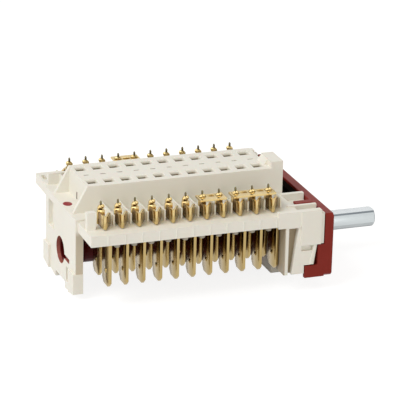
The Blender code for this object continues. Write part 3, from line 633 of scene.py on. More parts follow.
ZINC = Finish(
    "zinc_plate",
    "zinc",
    (0.64, 0.68, 0.69),
    (0.54, 0.58, 0.59),
    roughness=0.33,
    metallic=1.0,
    patch_size=3.0,
    relief=0.15,
    grain=0.2,
    stretch=(0.15, 1.0, 1.0),
)
# The milled flat: its own grain, lighter as a painted reflection.
ZINC_FLAT_REFLECTION = Finish(
    "milled_zinc",
    "zinc",
    (0.76, 0.79, 0.80),
    (0.60, 0.64, 0.66),
    roughness=0.28,
    metallic=1.0,
    patch_size=2.0,
    stretch=(1.0, 0.1, 1.0),
)
# Dark zinc on the flat's rim, the end's chamfer and the lowest faces, and darker zinc on the
# underside: painted shade and dark reflections.
ZINC_EDGE_SHADE = Finish("zinc_edge", "zinc", (0.26, 0.29, 0.31), (0.18, 0.20, 0.22), 0.4, 1.0)
ZINC_UNDERSIDE_SHADE = Finish("zinc_low", "zinc", (0.50, 0.53, 0.54), (0.42, 0.45, 0.46), 0.35, 1.0)
SPRING = Finish("spring_steel", "steel", (0.48, 0.49, 0.50), (0.40, 0.41, 0.42), 0.3, 1.0)
PAINT = Finish(
    "red_paint", "dark_red", (0.34, 0.003, 0.014), (0.25, 0.002, 0.010), 0.35, specular=0.25
)
# Dark red strip in the slit: painted shade.
SLIT_SHADE = Finish(
    "red_lining", "dark_red", (0.075, 0.012, 0.016), (0.05, 0.008, 0.012), 0.5, specular=0.2
)
# Dark cream of the hollow's back: painted shade.
HOLLOW_SHADE_CREAM = Finish(
    "hollow_moulding", "cream", (0.37, 0.30, 0.20), (0.29, 0.23, 0.15), 0.5, specular=0.2
)
# Darker cream of the pegs under the shelf: painted shade.
PEG_SHADE_CREAM = Finish(
    "peg_moulding", "cream", (0.40, 0.36, 0.29), (0.31, 0.28, 0.22), 0.5, specular=0.3
)


# Sub-assemblies


@dataclass(frozen=True)
class Tint:
    """A part of the moulding that lies in shade, as a box in its own coordinates.

    Attributes:
        low: The box's lowest corner in millimetres.
        high: The box's highest corner in millimetres.
        colour: The tint at full strength.
        fade: Depth below the box's top, in millimetres, at which the tint is full.
    """

    low: Triple
    high: Triple
    colour: Triple
    fade: float

    def lay_on(self, material: bpy.types.Material) -> None:
        """Blend the tint over a material's colour inside the box.

        Args:
            material: The moulding's material.
        """
        nodes, links = material.node_tree.nodes, material.node_tree.links
        shader = nodes["Principled BSDF"]
        base = shader.inputs["Base Color"].links[0].from_socket
        place = nodes.new("ShaderNodeTexCoord")
        split = nodes.new("ShaderNodeSeparateXYZ")
        links.new(place.outputs["Object"], split.inputs[0])
        low, high = at(*self.low), at(*self.high)
        depth = nodes.new("ShaderNodeMapRange")
        depth.inputs["From Min"].default_value = high.z
        depth.inputs["From Max"].default_value = high.z - self.fade * MM
        links.new(split.outputs["Z"], depth.inputs["Value"])
        amount = depth.outputs["Result"]
        limits = (
            ("X", "GREATER_THAN", low.x),
            ("X", "LESS_THAN", high.x),
            ("Y", "GREATER_THAN", low.y),
            ("Y", "LESS_THAN", high.y),
            ("Z", "GREATER_THAN", low.z),
        )
        for axis, kind, value in limits:
            test = nodes.new("ShaderNodeMath")
            test.operation = kind
            test.inputs[1].default_value = value
            links.new(split.outputs[axis], test.inputs[0])
            both = nodes.new("ShaderNodeMath")
            both.operation = "MULTIPLY"
            links.new(test.outputs[0], both.inputs[0])
            links.new(amount, both.inputs[1])
            amount = both.outputs[0]
        blend = nodes.new("ShaderNodeMix")
        blend.data_type = "RGBA"
        blend.inputs["B"].default_value = (*self.colour, 1.0)
        links.new(amount, blend.inputs["Factor"])
        links.new(base, blend.inputs["A"])
        links.new(blend.outputs["Result"], shader.inputs["Base Color"])


BEARING_SHADE = (0.42, 0.13, 0.10)
WELLS = Tint((-0.6, -8.0, -AXIS_Z), (54.2, 8.0, 21.82), (0.21, 0.15, 0.06), 1.0)
BLOCK_REAR = Tint((51.9, -27.6, -4.4), (52.35, 27.6, 10.5), (0.44, 0.37, 0.27), 0.3)
WALL_SIDE = Tint((-6.0, -14.76, -2.2), (-3.9, -14.6, 10.65), (0.60, 0.53, 0.41), 1.5)
BEARING = Tint((-6.1, -4.1, -4.1), (-3.9, 4.1, 4.1), BEARING_SHADE, 0.1)
KEYHOLE = Tint((-6.1, -8.85, -1.4), (-3.9, -3.9, 0.2), BEARING_SHADE, 0.1)


@dataclass
class Housing:
    """The cream moulding: its own edges, the ribs and pegs of its shelves, and its paint mark."""

    edge: float = 0.22
    shelf_out: float = 27.4
    shelf_low: float = 10.7
    shelf_top: float = 13.8
    root: float = 0.2
    rib_first: float = -0.52
    rib_width: float = 0.45
    rib_proud: float = 0.12
    rib_lift: float = 0.05
    rib_stop: float = 0.25
    rib_round_share: float = 0.8
    peg_first: float = 2.29
    peg_radius: float = 0.85
    peg_drop: float = 0.9
    peg_inset: float = 0.1
    peg_round: float = 0.35
    finger_top: Triple = (60.95, 62.0, 4.55)
    finger_low: Triple = (59.9, 61.0, -1.6)
    finger_proud: float = 0.32
    finger_round: float = 0.2
    hollow: Triple = (53.2, 56.3, 54.5)
    hollow_low: float = -4.15
    hollow_top: float = 10.0
    hollow_depth: float = 1.5
    back_thick: float = 0.3
    back_edge: float = 0.05
    ledge_top: float = 14.2
    mark_centre: Pair = (-4.4, -1.2)
    mark_radius: float = 1.3
    mark_stretch: float = 1.25
    mark_lift: float = 0.02
    mark_thick: float = 0.06
    mark_rim: float = 0.25
    mark_dome: float = 0.05
    mark_shrink: float = 0.7
    mark_sides: int = 40
    slit_low: Triple = (-0.96, 0.52, 14.42)
    slit_high: Triple = (-0.3, 1.38, 16.68)
    slit_round: float = 0.1
    tints: tuple[Tint, ...] = (WELLS, BLOCK_REAR, WALL_SIDE, BEARING, KEYHOLE)
    pieces: list[bpy.types.Object] = field(default_factory=list)

    def build(self, nodes: Nodes) -> None:
        """Soften and dress the moulding, then add its small parts.

        Args:
            nodes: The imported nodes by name.
        """
        moulding = CREAM.dress(break_edges(nodes["housing"], self.edge))
        for tint in self.tints:
            tint.lay_on(moulding.data.materials[0])
        for side in Side:
            self.pieces.append(self._front_ribs(side))
            self.pieces.append(self._pegs(side))
            self.pieces.append(self._latch_finger(side))
            self.pieces.append(self._hollow_back(side))
        self.pieces += [self._paint_mark(), self._slit_shade_strip()]
        for item in self.pieces:
            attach(item, "housing")
            LOG.info("housing: %s", item.name)

    def _front_ribs(self, side: Side) -> bpy.types.Object:
        """Raise the thin upright ribs of one shelf's front face, rounded off at their ends.

        Args:
            side: Which shelf.

        Returns:
            The ribs as one piece.
        """
        y = side.value * self.shelf_out
        half = self.rib_width / 2.0
        ribs = []
        for i in range(STATIONS):
            x = self.rib_first + PITCH * i
            low = (x - half, y - self.root * side.value, self.shelf_low + self.rib_lift)
            high = (x + half, y + self.rib_proud * side.value, self.shelf_top - self.rib_stop)
            rib = block(f"rib_{i}", low, high)
            with shaping(rib):
                choose(
                    rib, Kind.EDGE, lambda p, d: abs(p.y) > self.shelf_out and abs(d.x) < ACROSS
                )
                round_off(self.rib_proud * self.rib_round_share, COARSE)
            ribs.append(shade(rib))
        made = join(f"{side.name.lower()}_front_ribs", *ribs)
        return CREAM.dress(made)

    def _pegs(self, side: Side) -> bpy.types.Object:
        """Hang the round pegs under one shelf's front edge, darker than the shelf as painted
        shade.

        Args:
            side: Which shelf.

        Returns:
            The pegs as one piece.
        """
        pegs = []
        y = side.value * (self.shelf_out - self.peg_radius - self.peg_inset)
        z = self.shelf_low - self.peg_drop / 2.0 + self.root / 2.0
        for i in range(STATIONS - 1):
            x = self.peg_first + PITCH * i
            peg = rod(f"peg_{i}", (x, y, z), self.peg_radius, self.peg_drop + self.root)
            with shaping(peg):
                choose(
                    peg, Kind.EDGE, lambda p, d: p.z < self.shelf_low and abs(d.z) < ACROSS
                )
                round_off(self.peg_round, MIDDLE)
            pegs.append(shade(peg))
        made = join(f"{side.name.lower()}_shelf_pegs", *pegs)
        return PEG_SHADE_CREAM.dress(made)

    def _latch_finger(self, side: Side) -> bpy.types.Object:
        """Lean the finger that the front plate snaps behind, beside the window.

        Args:
            side: Which side of the housing.

        Returns:
            The finger.
        """
        y = side.value * self.shelf_out
        left, right, top = self.finger_top
        low_left, low_right, low = self.finger_low
        finger = block(
            f"{side.name.lower()}_latch_finger",
            (left, y - self.root * side.value, low),
            (right, y + self.finger_proud * side.value, top),
        )
        middle = ((left + right) / 2.0, y, low)
        lean = (low_left + low_right - left - right) / 2.0
        proud_side = self.shelf_out + self.finger_proud / 2.0
        with shaping(finger):
            choose(finger, Kind.FACE, facing_down)
            narrow(((low_right - low_left) / (right - left), 1.0, 1.0), middle)
            bpy.ops.transform.translate(value=(lean * MM, 0.0, 0.0))
            choose(finger, Kind.EDGE, lambda p, d: abs(p.y) > proud_side)
            round_off(self.finger_round, MIDDLE)
        return CREAM.dress(shade(finger))

    def _hollow_back(self, side: Side) -> bpy.types.Object:
        """Close the tapered hollow beside the end block's rib with a thin back, dark as painted
        shade.

        Args:
            side: Which side of the housing.

        Returns:
            The back.
        """
        start, end, low_end = self.hollow
        out = self.shelf_out - self.hollow_depth
        panel = block(
            f"{side.name.lower()}_hollow_back",
            (start, side.value * (out - self.back_thick), self.hollow_low),
            (end, side.value * out, self.hollow_top),
        )
        with shaping(panel):
            choose(panel, Kind.FACE, facing_down)
            narrow(((low_end - start) / (end - start), 1.0, 1.0), (start, 0.0, self.hollow_low))
        return HOLLOW_SHADE_CREAM.dress(soften(panel, self.back_edge))

    def _paint_mark(self) -> bpy.types.Object:
        """Dab the red mark on the ledge, domed like a drop of paint.

        Returns:
            The mark.
        """
        x, y = self.mark_centre
        middle = (x, y, self.ledge_top + self.mark_lift)
        dab = rod("paint_mark", middle, self.mark_radius, self.mark_thick, sides=self.mark_sides)
        with shaping(dab):
            choose(dab, Kind.FACE, facing_up)
            bpy.ops.mesh.inset(thickness=self.mark_rim * MM)
            pull((0.0, 0.0, self.mark_dome))
            narrow((self.mark_shrink, self.mark_shrink, 1.0), (x, y, self.ledge_top))
            bpy.ops.mesh.select_all(action="SELECT")
            narrow((1.0, self.mark_stretch, 1.0), (x, y, self.ledge_top))
        shade(dab, ROUNDED)
        return PAINT.dress(dab)

    def _slit_shade_strip(self) -> bpy.types.Object:
        """Lay a dark red strip in the narrow slit in the deck's rear end, as painted shade of the
        slit.

        Returns:
            The strip.
        """
        lining = block("slit_lining", self.slit_low, self.slit_high)
        with shaping(lining):
            choose(lining, Kind.EDGE, lambda p, d: p.x < self.slit_low[0] + SNAP)
            round_off(self.slit_round, COARSE)
        shade(lining)
        return SLIT_SHADE.dress(lining)


def break_edges(node: bpy.types.Object, width: float, angle: float = 30.0) -> bpy.types.Object:
    """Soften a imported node's edges with live modifiers, which leave its own mesh as it is.

    Args:
        node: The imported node.
        width: Width of the softened edge in millimetres.
        angle: Edges sharper than this, in degrees, are softened.

    Returns:
        The node.
    """
    weld = node.modifiers.new("weld", "WELD")
    weld.merge_threshold = WELD_REACH * MM
    flat = node.modifiers.new("flat", "DECIMATE")
    flat.decimate_type = "DISSOLVE"
    flat.angle_limit = math.radians(FLAT_ANGLE)
    edge = node.modifiers.new("edge", "BEVEL")
    edge.width = width * MM
    edge.segments = COARSE
    edge.limit_method = "ANGLE"
    edge.angle_limit = math.radians(angle)
    edge.use_clamp_overlap = True
    return node


class Panel(Enum):
    """Which brass a panel of the leaf has, with painted shade on the shaded panel and painted
    light on the outer one; the value is its material slot.
    """

    FOLD = 0
    SHADED = 1
    OUTER = 2


@dataclass
class Terminals:
    """One row of folded brass terminals, with their outer and inner blades."""

    side: Side
    thick: float = 0.8
    tab_width: float = 6.3
    tab_low: float = -3.6
    chamfer: float = 1.3
    sheet_edge: float = 0.09
    dimple_radius: float = 0.8
    dimple_squeeze: float = 0.435
    dimple_sunk: float = 0.05
    dimple_z: float = 0.6
    seat_top: float = 13.0
    neck: Pair = (18.0, 19.8)
    neck_step: float = 0.05
    neck_top: float = 15.1
    outer_out: float = 20.4
    inner_out: float = 11.6
    inner_top: float = 10.4
    tongue_share: float = 0.62
    tongue_out: float = 14.75
    tongue_rise: float = 2.55
    leaf_low: float = 14.1
    near_leaf_top: float = 17.9
    far_leaf_top: float = 16.0
    leaf_shade_out: float = 21.5
    leaf_back: Pair = (-2.0, 18.9)
    leaf_nose: Pair = (-1.76, 24.0)
    leaf_side: Pair = (1.3, 18.9)
    leaf_thick: float = 0.55
    leaf_edge: float = 0.1
    nose_round: float = 1.0
    petal_round: float = 2.2
    foot_round: float = 0.5
    corner_reach: float = 0.1
    panel_reach: float = 0.3
    tip_x: float = -1.36
    tip_out: float = 18.5
    shoulder_width: float = 2.3
    shoulder_z: float = 18.1
    shoulder_rise: float = 0.12
    head_width: float = 1.5
    head_z: float = 19.7
    head_round: float = 0.45
    head_thick: float = 0.6
    head_edge: float = 0.08
    prong_z: float = 20.9
    prong_width: float = 0.5
    prong_root: float = 0.3
    prong_point: float = 0.35
    prong_taper: float = 0.45
    prong_edge: float = 0.06
    lobe: Pair = (-1.0, 0.4)
    lobe_top: float = 19.3
    lobe_round: float = 0.3
    lobe_thick: float = 0.66
    lobe_edge: float = 0.12
    ball_offset: float = 0.42
    ball_radius: float = 0.62
    ball_z: float = 19.2
    ball_squeeze: Triple = (1.0, 0.9, 1.05)
    arm_low: float = 11.3
    arm_high: float = 13.0
    arm_start: float = 1.5
    arm_end: float = 2.3
    arm_out: float = 1.3
    arm_lap: float = 0.4
    arm_edge: float = 0.08
    link_width: float = 0.8
    rivet_out: float = 2.1
    rivet_radius: float = 0.8
    rivet_round: float = 0.15
    arm_rivet: Triple = (1.9, 11.15, 0.5)
    spring_rivet: Triple = (1.7, 10.25, 0.7)
    spring_path: tuple[Pair, ...] = (
        (10.5, 10.2),
        (9.0, 10.2),
        (4.9, 6.7),
        (3.3, 9.9),
        (1.1, 9.9),
    )
    spring_span: Pair = (-0.45, 2.4)
    spring_thick: float = 0.4
    spring_round: float = 0.4
    spring_edge: float = 0.05

    @property
    def leaf_top(self) -> float:
        """Z of the leaf's upper edge."""
        return self.near_leaf_top if self.side is Side.NEAR else self.far_leaf_top

    def build(self) -> None:
        """Model one outer and one inner terminal, copy them along the row and dress them."""
        for kind, model in ((Rows.OUTER, self._outer()), (Rows.INNER, self._inner())):
            for i in range(STATIONS):
                node = f"{self.side.name.lower()}_{kind.value}_terminal_{i + 1:02d}"
                piece = copy_to(model, node + "_look", PITCH * i)
                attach(piece, "housing")
                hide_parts(node)
            bpy.data.objects.remove(model, do_unlink=True)
            LOG.info("terminals: %s %s row", self.side.name.lower(), kind.value)

    def _out(self, value: float) -> float:
        """Turn a distance from the axis into Y."""
        return self.side.value * value

    def _plan(self, point: Pair) -> Pair:
        """Turn an offset and a distance out into X and Y above the shelf."""
        return self.side.first_x + self.side.fold(point[0]), self._out(point[1])

    def _blade(self, name: str, centre: float, top: float) -> bpy.types.Object:
        """Cut one blade from sheet, with a chamfered end.

        Args:
            name: The blade's name.
            centre: Distance of its middle from the axis.
            top: Z of its upper end.

        Returns:
            The blade.
        """
        x = self.side.first_x
        half, wide = self.thick / 2.0, self.tab_width / 2.0
        low = (x - half, self._out(centre) - wide, self.tab_low)
        high = (x + half, self._out(centre) + wide, top)
        blade = block(name, low, high)
        with shaping(blade):
            choose(
                blade, Kind.EDGE, lambda p, d: abs(d.x) > ALONG and p.z < self.tab_low + SNAP
            )
            round_off(self.chamfer, 1)
        return blade

    def _raise_neck(
        self, blade: bpy.types.Object, share: float, centre: float, top: float, rise: float
    ) -> None:
        """Narrow a blade's upper end and raise its neck from there.

        Args:
            blade: The blade.
            share: The neck's width as a share of the blade's.
            centre: Distance from the axis of the place that stays where it is.
            top: Z of the blade's upper end.
            rise: Height of the neck.
        """
        with shaping(blade):
            choose(blade, Kind.FACE, facing_up)
            pull((0.0, 0.0, self.neck_step))
            narrow((1.0, share, 1.0), (self.side.first_x, self._out(centre), top))
            pull((0.0, 0.0, rise))
        soften(blade, self.sheet_edge)

    def _dimple(self, centre: float) -> bpy.types.Object:
        """Press the dimple that a receptacle snaps over, on a blade's rear face.

        Args:
            centre: Distance of the blade's middle from the axis.

        Returns:
            The dimple.
        """
        x = self.side.first_x - self.thick / 2.0 + self.dimple_sunk
        place = (x, self._out(centre), self.dimple_z)
        return self._bead("dimple", place, self.dimple_radius, (self.dimple_squeeze, 1.0, 1.0))

    def _bead(
        self, name: str, centre: Point, radius: float, scale: Point
    ) -> bpy.types.Object:
        """Raise one smooth bead of brass.

        Args:
            name: The bead's name.
            centre: Its centre in millimetres.
            radius: Its radius in millimetres.
            scale: How it is squeezed along X, Y and Z.

        Returns:
            The bead.
        """
        bpy.ops.mesh.primitive_uv_sphere_add(
            segments=SMALL_SIDES,
            ring_count=BEAD_RINGS,
            radius=radius * MM,
            location=at(*centre),
            scale=scale,
        )
        return shade(settle(bpy.context.object, name), ROUNDED)

    def _rivet(self, offset: float, z: float, height: float, upward: bool) -> bpy.types.Object:
        """Seat a round contact, rounded on the side that meets the other one.

        Args:
            offset: How far it stands ahead of the blade.
            z: Z of its middle.
            height: Its height.
            upward: Whether the rounded side looks up.

        Returns:
            The contact.
        """
        place = (self.side.first_x + offset, self._out(self.rivet_out), z)
        rivet = rod("rivet", place, self.rivet_radius, height)
        with shaping(rivet):
            choose(rivet, Kind.EDGE, lambda p, d: (p.z > z) is upward and abs(d.z) < ACROSS)
            round_off(self.rivet_round, COARSE)
        return shade(rivet)

    def _outer(self) -> bpy.types.Object:
        """Model an outer terminal: blade, contact arm, folded leaf and tab.

        Returns:
            The terminal at the first station.
        """
        low, high = self.neck
        share = (high - low) / self.tab_width
        centre = ((low + high) / 2.0 - share * self.outer_out) / (1.0 - share)
        blade = self._blade("outer", self.outer_out, self.seat_top)
        self._raise_neck(blade, share, centre, self.seat_top, self.neck_top - self.seat_top)
        parts = [blade, self._dimple(self.outer_out), *self._arm()]
        # Blade, dimple and arm in the darker blade brass: painted shade.
        for part in parts:
            BLADE_BRASS_IN_SHADE.dress(part)
        return join("outer_terminal", *parts, self._leaf(), self._tab())

    def _leaf(self) -> bpy.types.Object:
        """Fold the leaf: two upright panels with a rounded fold and a petal shoulder.

        Returns:
            The leaf, with painted shade on its rear panel and painted light on its outer panel.
        """
        back, nose, far = (self._plan(p) for p in (self.leaf_back, self.leaf_nose, self.leaf_side))
        share = (self.leaf_shade_out - abs(back[1])) / (abs(nose[1]) - abs(back[1]))
        bend = tuple(a + (b - a) * share for a, b in zip(back, nose))
        at_nose, at_far, reach = beside(nose), beside(far), self.corner_reach
        leaf = sheet_panel("leaf", back, bend, self.leaf_low, self.leaf_top)
        with shaping(leaf):
            choose(leaf, Kind.EDGE, lambda p, d: abs(d.z) > ALONG and abs(p.y - bend[1]) < reach)
            pull((nose[0] - bend[0], nose[1] - bend[1], 0.0))
            pull((far[0] - nose[0], far[1] - nose[1], 0.0))
            choose(leaf, Kind.EDGE, lambda p, d: abs(d.z) > ALONG and at_nose(p))
            round_off(self.nose_round, FINE)
            choose(leaf, Kind.VERT, lambda p, n: at_far(p) and p.z > self.leaf_top - reach)
            round_off(self.petal_round, FINE, corners=True)
            choose(leaf, Kind.VERT, lambda p, n: at_far(p) and p.z < self.leaf_low + reach)
            round_off(self.foot_round, MIDDLE, corners=True)
        for finish in (BRASS, SHADE_BRASS, LEAF_BRASS_LIT):
            leaf.data.materials.append(finish.material())
        shaded_x, outer_x = (back[0] + bend[0]) / 2.0, (far[0] + nose[0]) / 2.0
        shaded_y = (abs(back[1]) + self.leaf_shade_out) / 2.0
        for face in leaf.data.polygons:
            x, y = face.center.x / MM + ORIGIN_X, abs(face.center.y / MM)
            if abs(x - shaded_x) < self.panel_reach and abs(y - shaded_y) < self.panel_reach:
                face.material_index = Panel.SHADED.value
            elif abs(x - outer_x) < 2.0 * self.panel_reach:
                face.material_index = Panel.OUTER.value
            else:
                face.material_index = Panel.FOLD.value
        depth = self.leaf_thick * MM
        apply_modifier(leaf, "SOLIDIFY", thickness=depth, offset=0.0, use_even_offset=True)
        return soften(leaf, self.leaf_edge)

    def _tab(self) -> bpy.types.Object:
        """Raise the tab behind the leaf: head, prong darkened with painted reflection, flat lobe
        and bead.

        Returns:
            The tab, with its finishes.
        """
        x, y = self._plan((self.tip_x, self.tip_out))
        head, prong, lobe = self._head(x, y), self._prong(x, y), self._lobe(x, y)
        place = (x + self.side.fold(self.ball_offset), y, self.ball_z)
        bead = self._bead("bead", place, self.ball_radius, self.ball_squeeze)
        for part in (head, lobe, bead):
            BRASS.dress(part)
        return join("tab", head, lobe, bead, prong)

    def _head(self, x: float, y: float) -> bpy.types.Object:
        """Raise the tab's own sheet: wide shoulders and a narrower rounded head.

        Args:
            x: X of the tab's middle.
            y: Y of the tab's middle.

        Returns:
            The sheet.
        """
        half = self.shoulder_width / 2.0
        slope_top = self.shoulder_z + self.shoulder_rise
        head = sheet_panel("tab", (x - half, y), (x + half, y), self.leaf_low, self.shoulder_z)
        with shaping(head):
            choose(head, Kind.EDGE, level_at(self.shoulder_z))
            pull((0.0, 0.0, self.shoulder_rise))
            narrow((self.head_width / self.shoulder_width, 1.0, 1.0), (x, y, self.shoulder_z))
            choose(head, Kind.EDGE, level_at(slope_top))
            pull((0.0, 0.0, self.head_z - slope_top))
            choose(head, Kind.VERT, lambda p, n: p.z > self.head_z - SNAP)
            round_off(self.head_round, MIDDLE, corners=True)
        apply_modifier(head, "SOLIDIFY", thickness=self.head_thick * MM, offset=0.0)
        return soften(head, self.head_edge)

    def _prong(self, x: float, y: float) -> bpy.types.Object:
        """Point the prong that stands on the head, near-black with a painted dark reflection.

        Args:
            x: X of the tab's middle.
            y: Y of the tab's middle.

        Returns:
            The prong, with its finish.
        """
        wide, deep = self.prong_width / 2.0, self.head_thick / 2.0
        prong = block(
            "prong",
            (x - wide, y - deep, self.head_z - self.prong_root),
            (x + wide, y + deep, self.prong_z - self.prong_point),
        )
        with shaping(prong):
            choose(prong, Kind.FACE, facing_up)
            pull((0.0, 0.0, self.prong_point))
            narrow((self.prong_taper, self.prong_taper, 1.0), (x, y, self.prong_z))
        return PRONG_BRASS_REFLECTION.dress(soften(prong, self.prong_edge))

    def _lobe(self, x: float, y: float) -> bpy.types.Object:
        """Press the flat lobe beside the bead.

        Args:
            x: X of the tab's middle.
            y: Y of the tab's middle.

        Returns:
            The lobe.
        """
        left, right = sorted(x + self.side.fold(offset) for offset in self.lobe)
        lobe = sheet_panel("lobe", (left, y), (right, y), self.shoulder_z, self.lobe_top)
        with shaping(lobe):
            choose(lobe, Kind.VERT, lambda p, n: p.z > self.lobe_top - SNAP)
            round_off(self.lobe_round, MIDDLE, corners=True)
        apply_modifier(lobe, "SOLIDIFY", thickness=self.lobe_thick * MM, offset=0.0)
        return soften(lobe, self.lobe_edge)

    def _arm(self) -> list[bpy.types.Object]:
        """Bend the arm that carries the fixed contact in over the cam, under the deck.

        Returns:
            The arm's link to the blade, the arm and its contact.
        """
        x = self.side.first_x
        inner = self.outer_out - self.tab_width / 2.0
        link = block(
            "link",
            (x - self.thick / 2.0, self._out(inner), self.arm_low),
            (x + self.arm_end, self._out(inner + self.link_width), self.arm_high),
        )
        arm = block(
            "arm",
            (x + self.arm_start, self._out(self.arm_out), self.arm_low),
            (x + self.arm_end, self._out(inner + self.arm_lap), self.arm_high),
        )
        contact = self._rivet(*self.arm_rivet, upward=False)
        return [soften(link, self.arm_edge), soften(arm, self.arm_edge), contact]

    def _inner(self) -> bpy.types.Object:
        """Model an inner terminal: blade, seat tongue, bowed contact spring and rivet.

        Returns:
            The terminal at the first station.
        """
        blade = self._blade("inner", self.inner_out, self.inner_top)
        self._raise_neck(
            blade, self.tongue_share, self.tongue_out, self.inner_top, self.tongue_rise
        )
        spring = self._spring()
        rivet = self._rivet(*self.spring_rivet, upward=True)
        parts = [blade, self._dimple(self.inner_out), spring, rivet]
        # Blade, dimple, spring and rivet in the darker blade brass: painted shade.
        for part in parts:
            BLADE_BRASS_IN_SHADE.dress(part)
        return join("inner_terminal", *parts)

    def _spring(self) -> bpy.types.Object:
        """Bend the strip of spring sheet that carries the moving contact.

        Returns:
            The strip.
        """
        path = self.spring_path
        low_x, high_x = (self.side.first_x + offset for offset in self.spring_span)
        bpy.ops.mesh.primitive_plane_add(size=1.0, location=at(0.0, 0.0, 0.0))
        strip = settle(bpy.context.object, "strip")
        with shaping(strip):
            bpy.ops.mesh.select_all(action="SELECT")
            bpy.ops.mesh.delete(type="ONLY_FACE")
            choose(strip, Kind.EDGE, lambda p, d: p.y > SNAP)
            bpy.ops.mesh.select_all(action="INVERT")
            bpy.ops.mesh.delete(type="EDGE")
            bm = bmesh.from_edit_mesh(strip.data)
            ends = sorted(bm.verts, key=lambda v: v.co.x)
            ends[0].co = at(low_x, self._out(path[0][0]), path[0][1])
            ends[-1].co = at(high_x, self._out(path[0][0]), path[0][1])
            bmesh.update_edit_mesh(strip.data)
            bpy.ops.mesh.select_all(action="SELECT")
            for one, two in zip(path, path[1:]):
                pull((0.0, self._out(two[0]) - self._out(one[0]), two[1] - one[1]))
            choose(strip, Kind.EDGE, self._at_bend)
            round_off(self.spring_round, MIDDLE)
        apply_modifier(strip, "SOLIDIFY", thickness=self.spring_thick * MM, offset=0.0)
        return soften(strip, self.spring_edge)

    def _at_bend(self, point: Vector, way: Vector) -> bool:
        """Say whether an edge lies across the spring at one of its bends."""
        return abs(way.x) > ALONG and any(
            abs(abs(point.y) - out) < SNAP and abs(point.z - z) < SNAP
            for out, z in self.spring_path[1:-1]
        )


@dataclass
class Bridges:
    """The brass strips that join neighbouring tabs."""

    edge: float = 0.12
    names: tuple[str, ...] = ("near_bridge_2", "near_bridge_3", "far_bridge_2")

    def build(self, nodes: Nodes) -> None:
        """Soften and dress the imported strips.

        Args:
            nodes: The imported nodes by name.
        """
        for name in self.names:
            BRASS.dress(break_edges(nodes[name], self.edge))
            LOG.info("bridges: %s", name)


class Coat(Enum):
    """Which finish a part of the spindle has, FLAT with a painted reflection, EDGE and LOW with
    painted shade; the value is its material slot.
    """

    ROUND = 0
    FLAT = 1
    EDGE = 2
    LOW = 3


@dataclass
class Rotor:
    """The moving parts: the camshaft and the spindle that turns it."""

    radius: float = 3.0
    start_x: float = 50.0
    tip_x: float = 91.3
    sides: int = 96
    chamfer: float = 0.6
    flat_start: float = 68.4
    flat_height: float = 2.4
    cut_margin: float = 1.0
    edge: float = 0.12
    edge_angle: float = 30.0
    cam_edge: float = 0.15
    cam_angle: float = 40.0
    flat_reach: float = 0.02
    flat_tilt: float = 0.99
    rim_drop: float = 0.45
    rim_reach: float = 0.4
    chamfer_tilt: Pair = (0.3, 0.9)
    dark_tilt: float = -0.72
    low_tilt: float = -0.35

    def build(self, nodes: Nodes) -> None:
        """Soften the camshaft and turn the spindle.

        Args:
            nodes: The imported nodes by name.
        """
        CAM_RED_IN_SHADE.dress(break_edges(nodes["camshaft"], self.cam_edge, self.cam_angle))
        spindle = self._plate(self._spindle())
        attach(spindle, "rotor")
        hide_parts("spindle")
        LOG.info("rotor: camshaft and %s", spindle.name)

    def _spindle(self) -> bpy.types.Object:
        """Turn the spindle, chamfer its end and mill the knob's flat.

        Returns:
            The spindle.
        """
        length = self.tip_x - self.start_x
        middle = (self.start_x + length / 2.0, 0.0, 0.0)
        spindle = rod("spindle_look", middle, self.radius, length, Way.ALONG, self.sides)
        with shaping(spindle):
            choose(
                spindle, Kind.EDGE, lambda p, d: p.x > self.tip_x - SNAP and abs(d.x) < ACROSS
            )
            round_off(self.chamfer, MIDDLE)
        past = self.radius + self.cut_margin
        flat = block(
            "flat_cutter",
            (self.flat_start, -past, self.flat_height),
            (self.tip_x + self.cut_margin, past, past),
        )
        cut_from(spindle, flat)
        return soften(spindle, self.edge, angle=self.edge_angle)

    def _plate(self, spindle: bpy.types.Object) -> bpy.types.Object:
        """Give the turned rod its finish, its milled flat a painted reflection, and its edges and
        underside painted shade.

        Args:
            spindle: The spindle.

        Returns:
            The spindle.
        """
        for finish in (ZINC, ZINC_FLAT_REFLECTION, ZINC_EDGE_SHADE, ZINC_UNDERSIDE_SHADE):
            spindle.data.materials.append(finish.material())
        for face in spindle.data.polygons:
            middle = face.center / MM - Vector((0.0, 0.0, AXIS_Z))
            face.material_index = self._coat(middle, face.normal).value
        return spindle

    def _coat(self, middle: Vector, normal: Vector) -> Coat:
        """Choose one face's finish by its place and by the way it looks: a painted reflection on
        the flat, painted shade on the edges and underside.

        Args:
            middle: The face's middle in millimetres, up from the spindle's axis.
            normal: The face's normal.

        Returns:
            The finish.
        """
        edge_out = math.sqrt(self.radius**2 - self.flat_height**2)
        if middle.z > self.flat_height - self.flat_reach and normal.z > self.flat_tilt:
            return Coat.FLAT
        at_rim = abs(abs(middle.y) - edge_out) < self.rim_reach
        if middle.z > self.flat_height - self.rim_drop and at_rim:
            return Coat.EDGE
        if self.chamfer_tilt[0] < normal.x < self.chamfer_tilt[1] or normal.z < self.dark_tilt:
            return Coat.EDGE
        return Coat.LOW if normal.z < self.low_tilt else Coat.ROUND


@dataclass
class Front:
    """The red-brown plate at the front and the detent parts behind it."""

    plate_edge: float = 0.35
    carrier_edge: float = 0.15
    spring_edge: float = 0.05

    def build(self, nodes: Nodes) -> None:
        """Soften and dress the plate, the carrier and the spring.

        Args:
            nodes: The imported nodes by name.
        """
        PLATE_RED.dress(break_edges(nodes["front_plate"], self.plate_edge))
        CARRIER_BLACK_AND_SHADE.dress(break_edges(nodes["detent_carrier"], self.carrier_edge))
        SPRING.dress(break_edges(nodes["detent_spring"], self.spring_edge))
        LOG.info("front: plate, carrier and spring")


# Studio


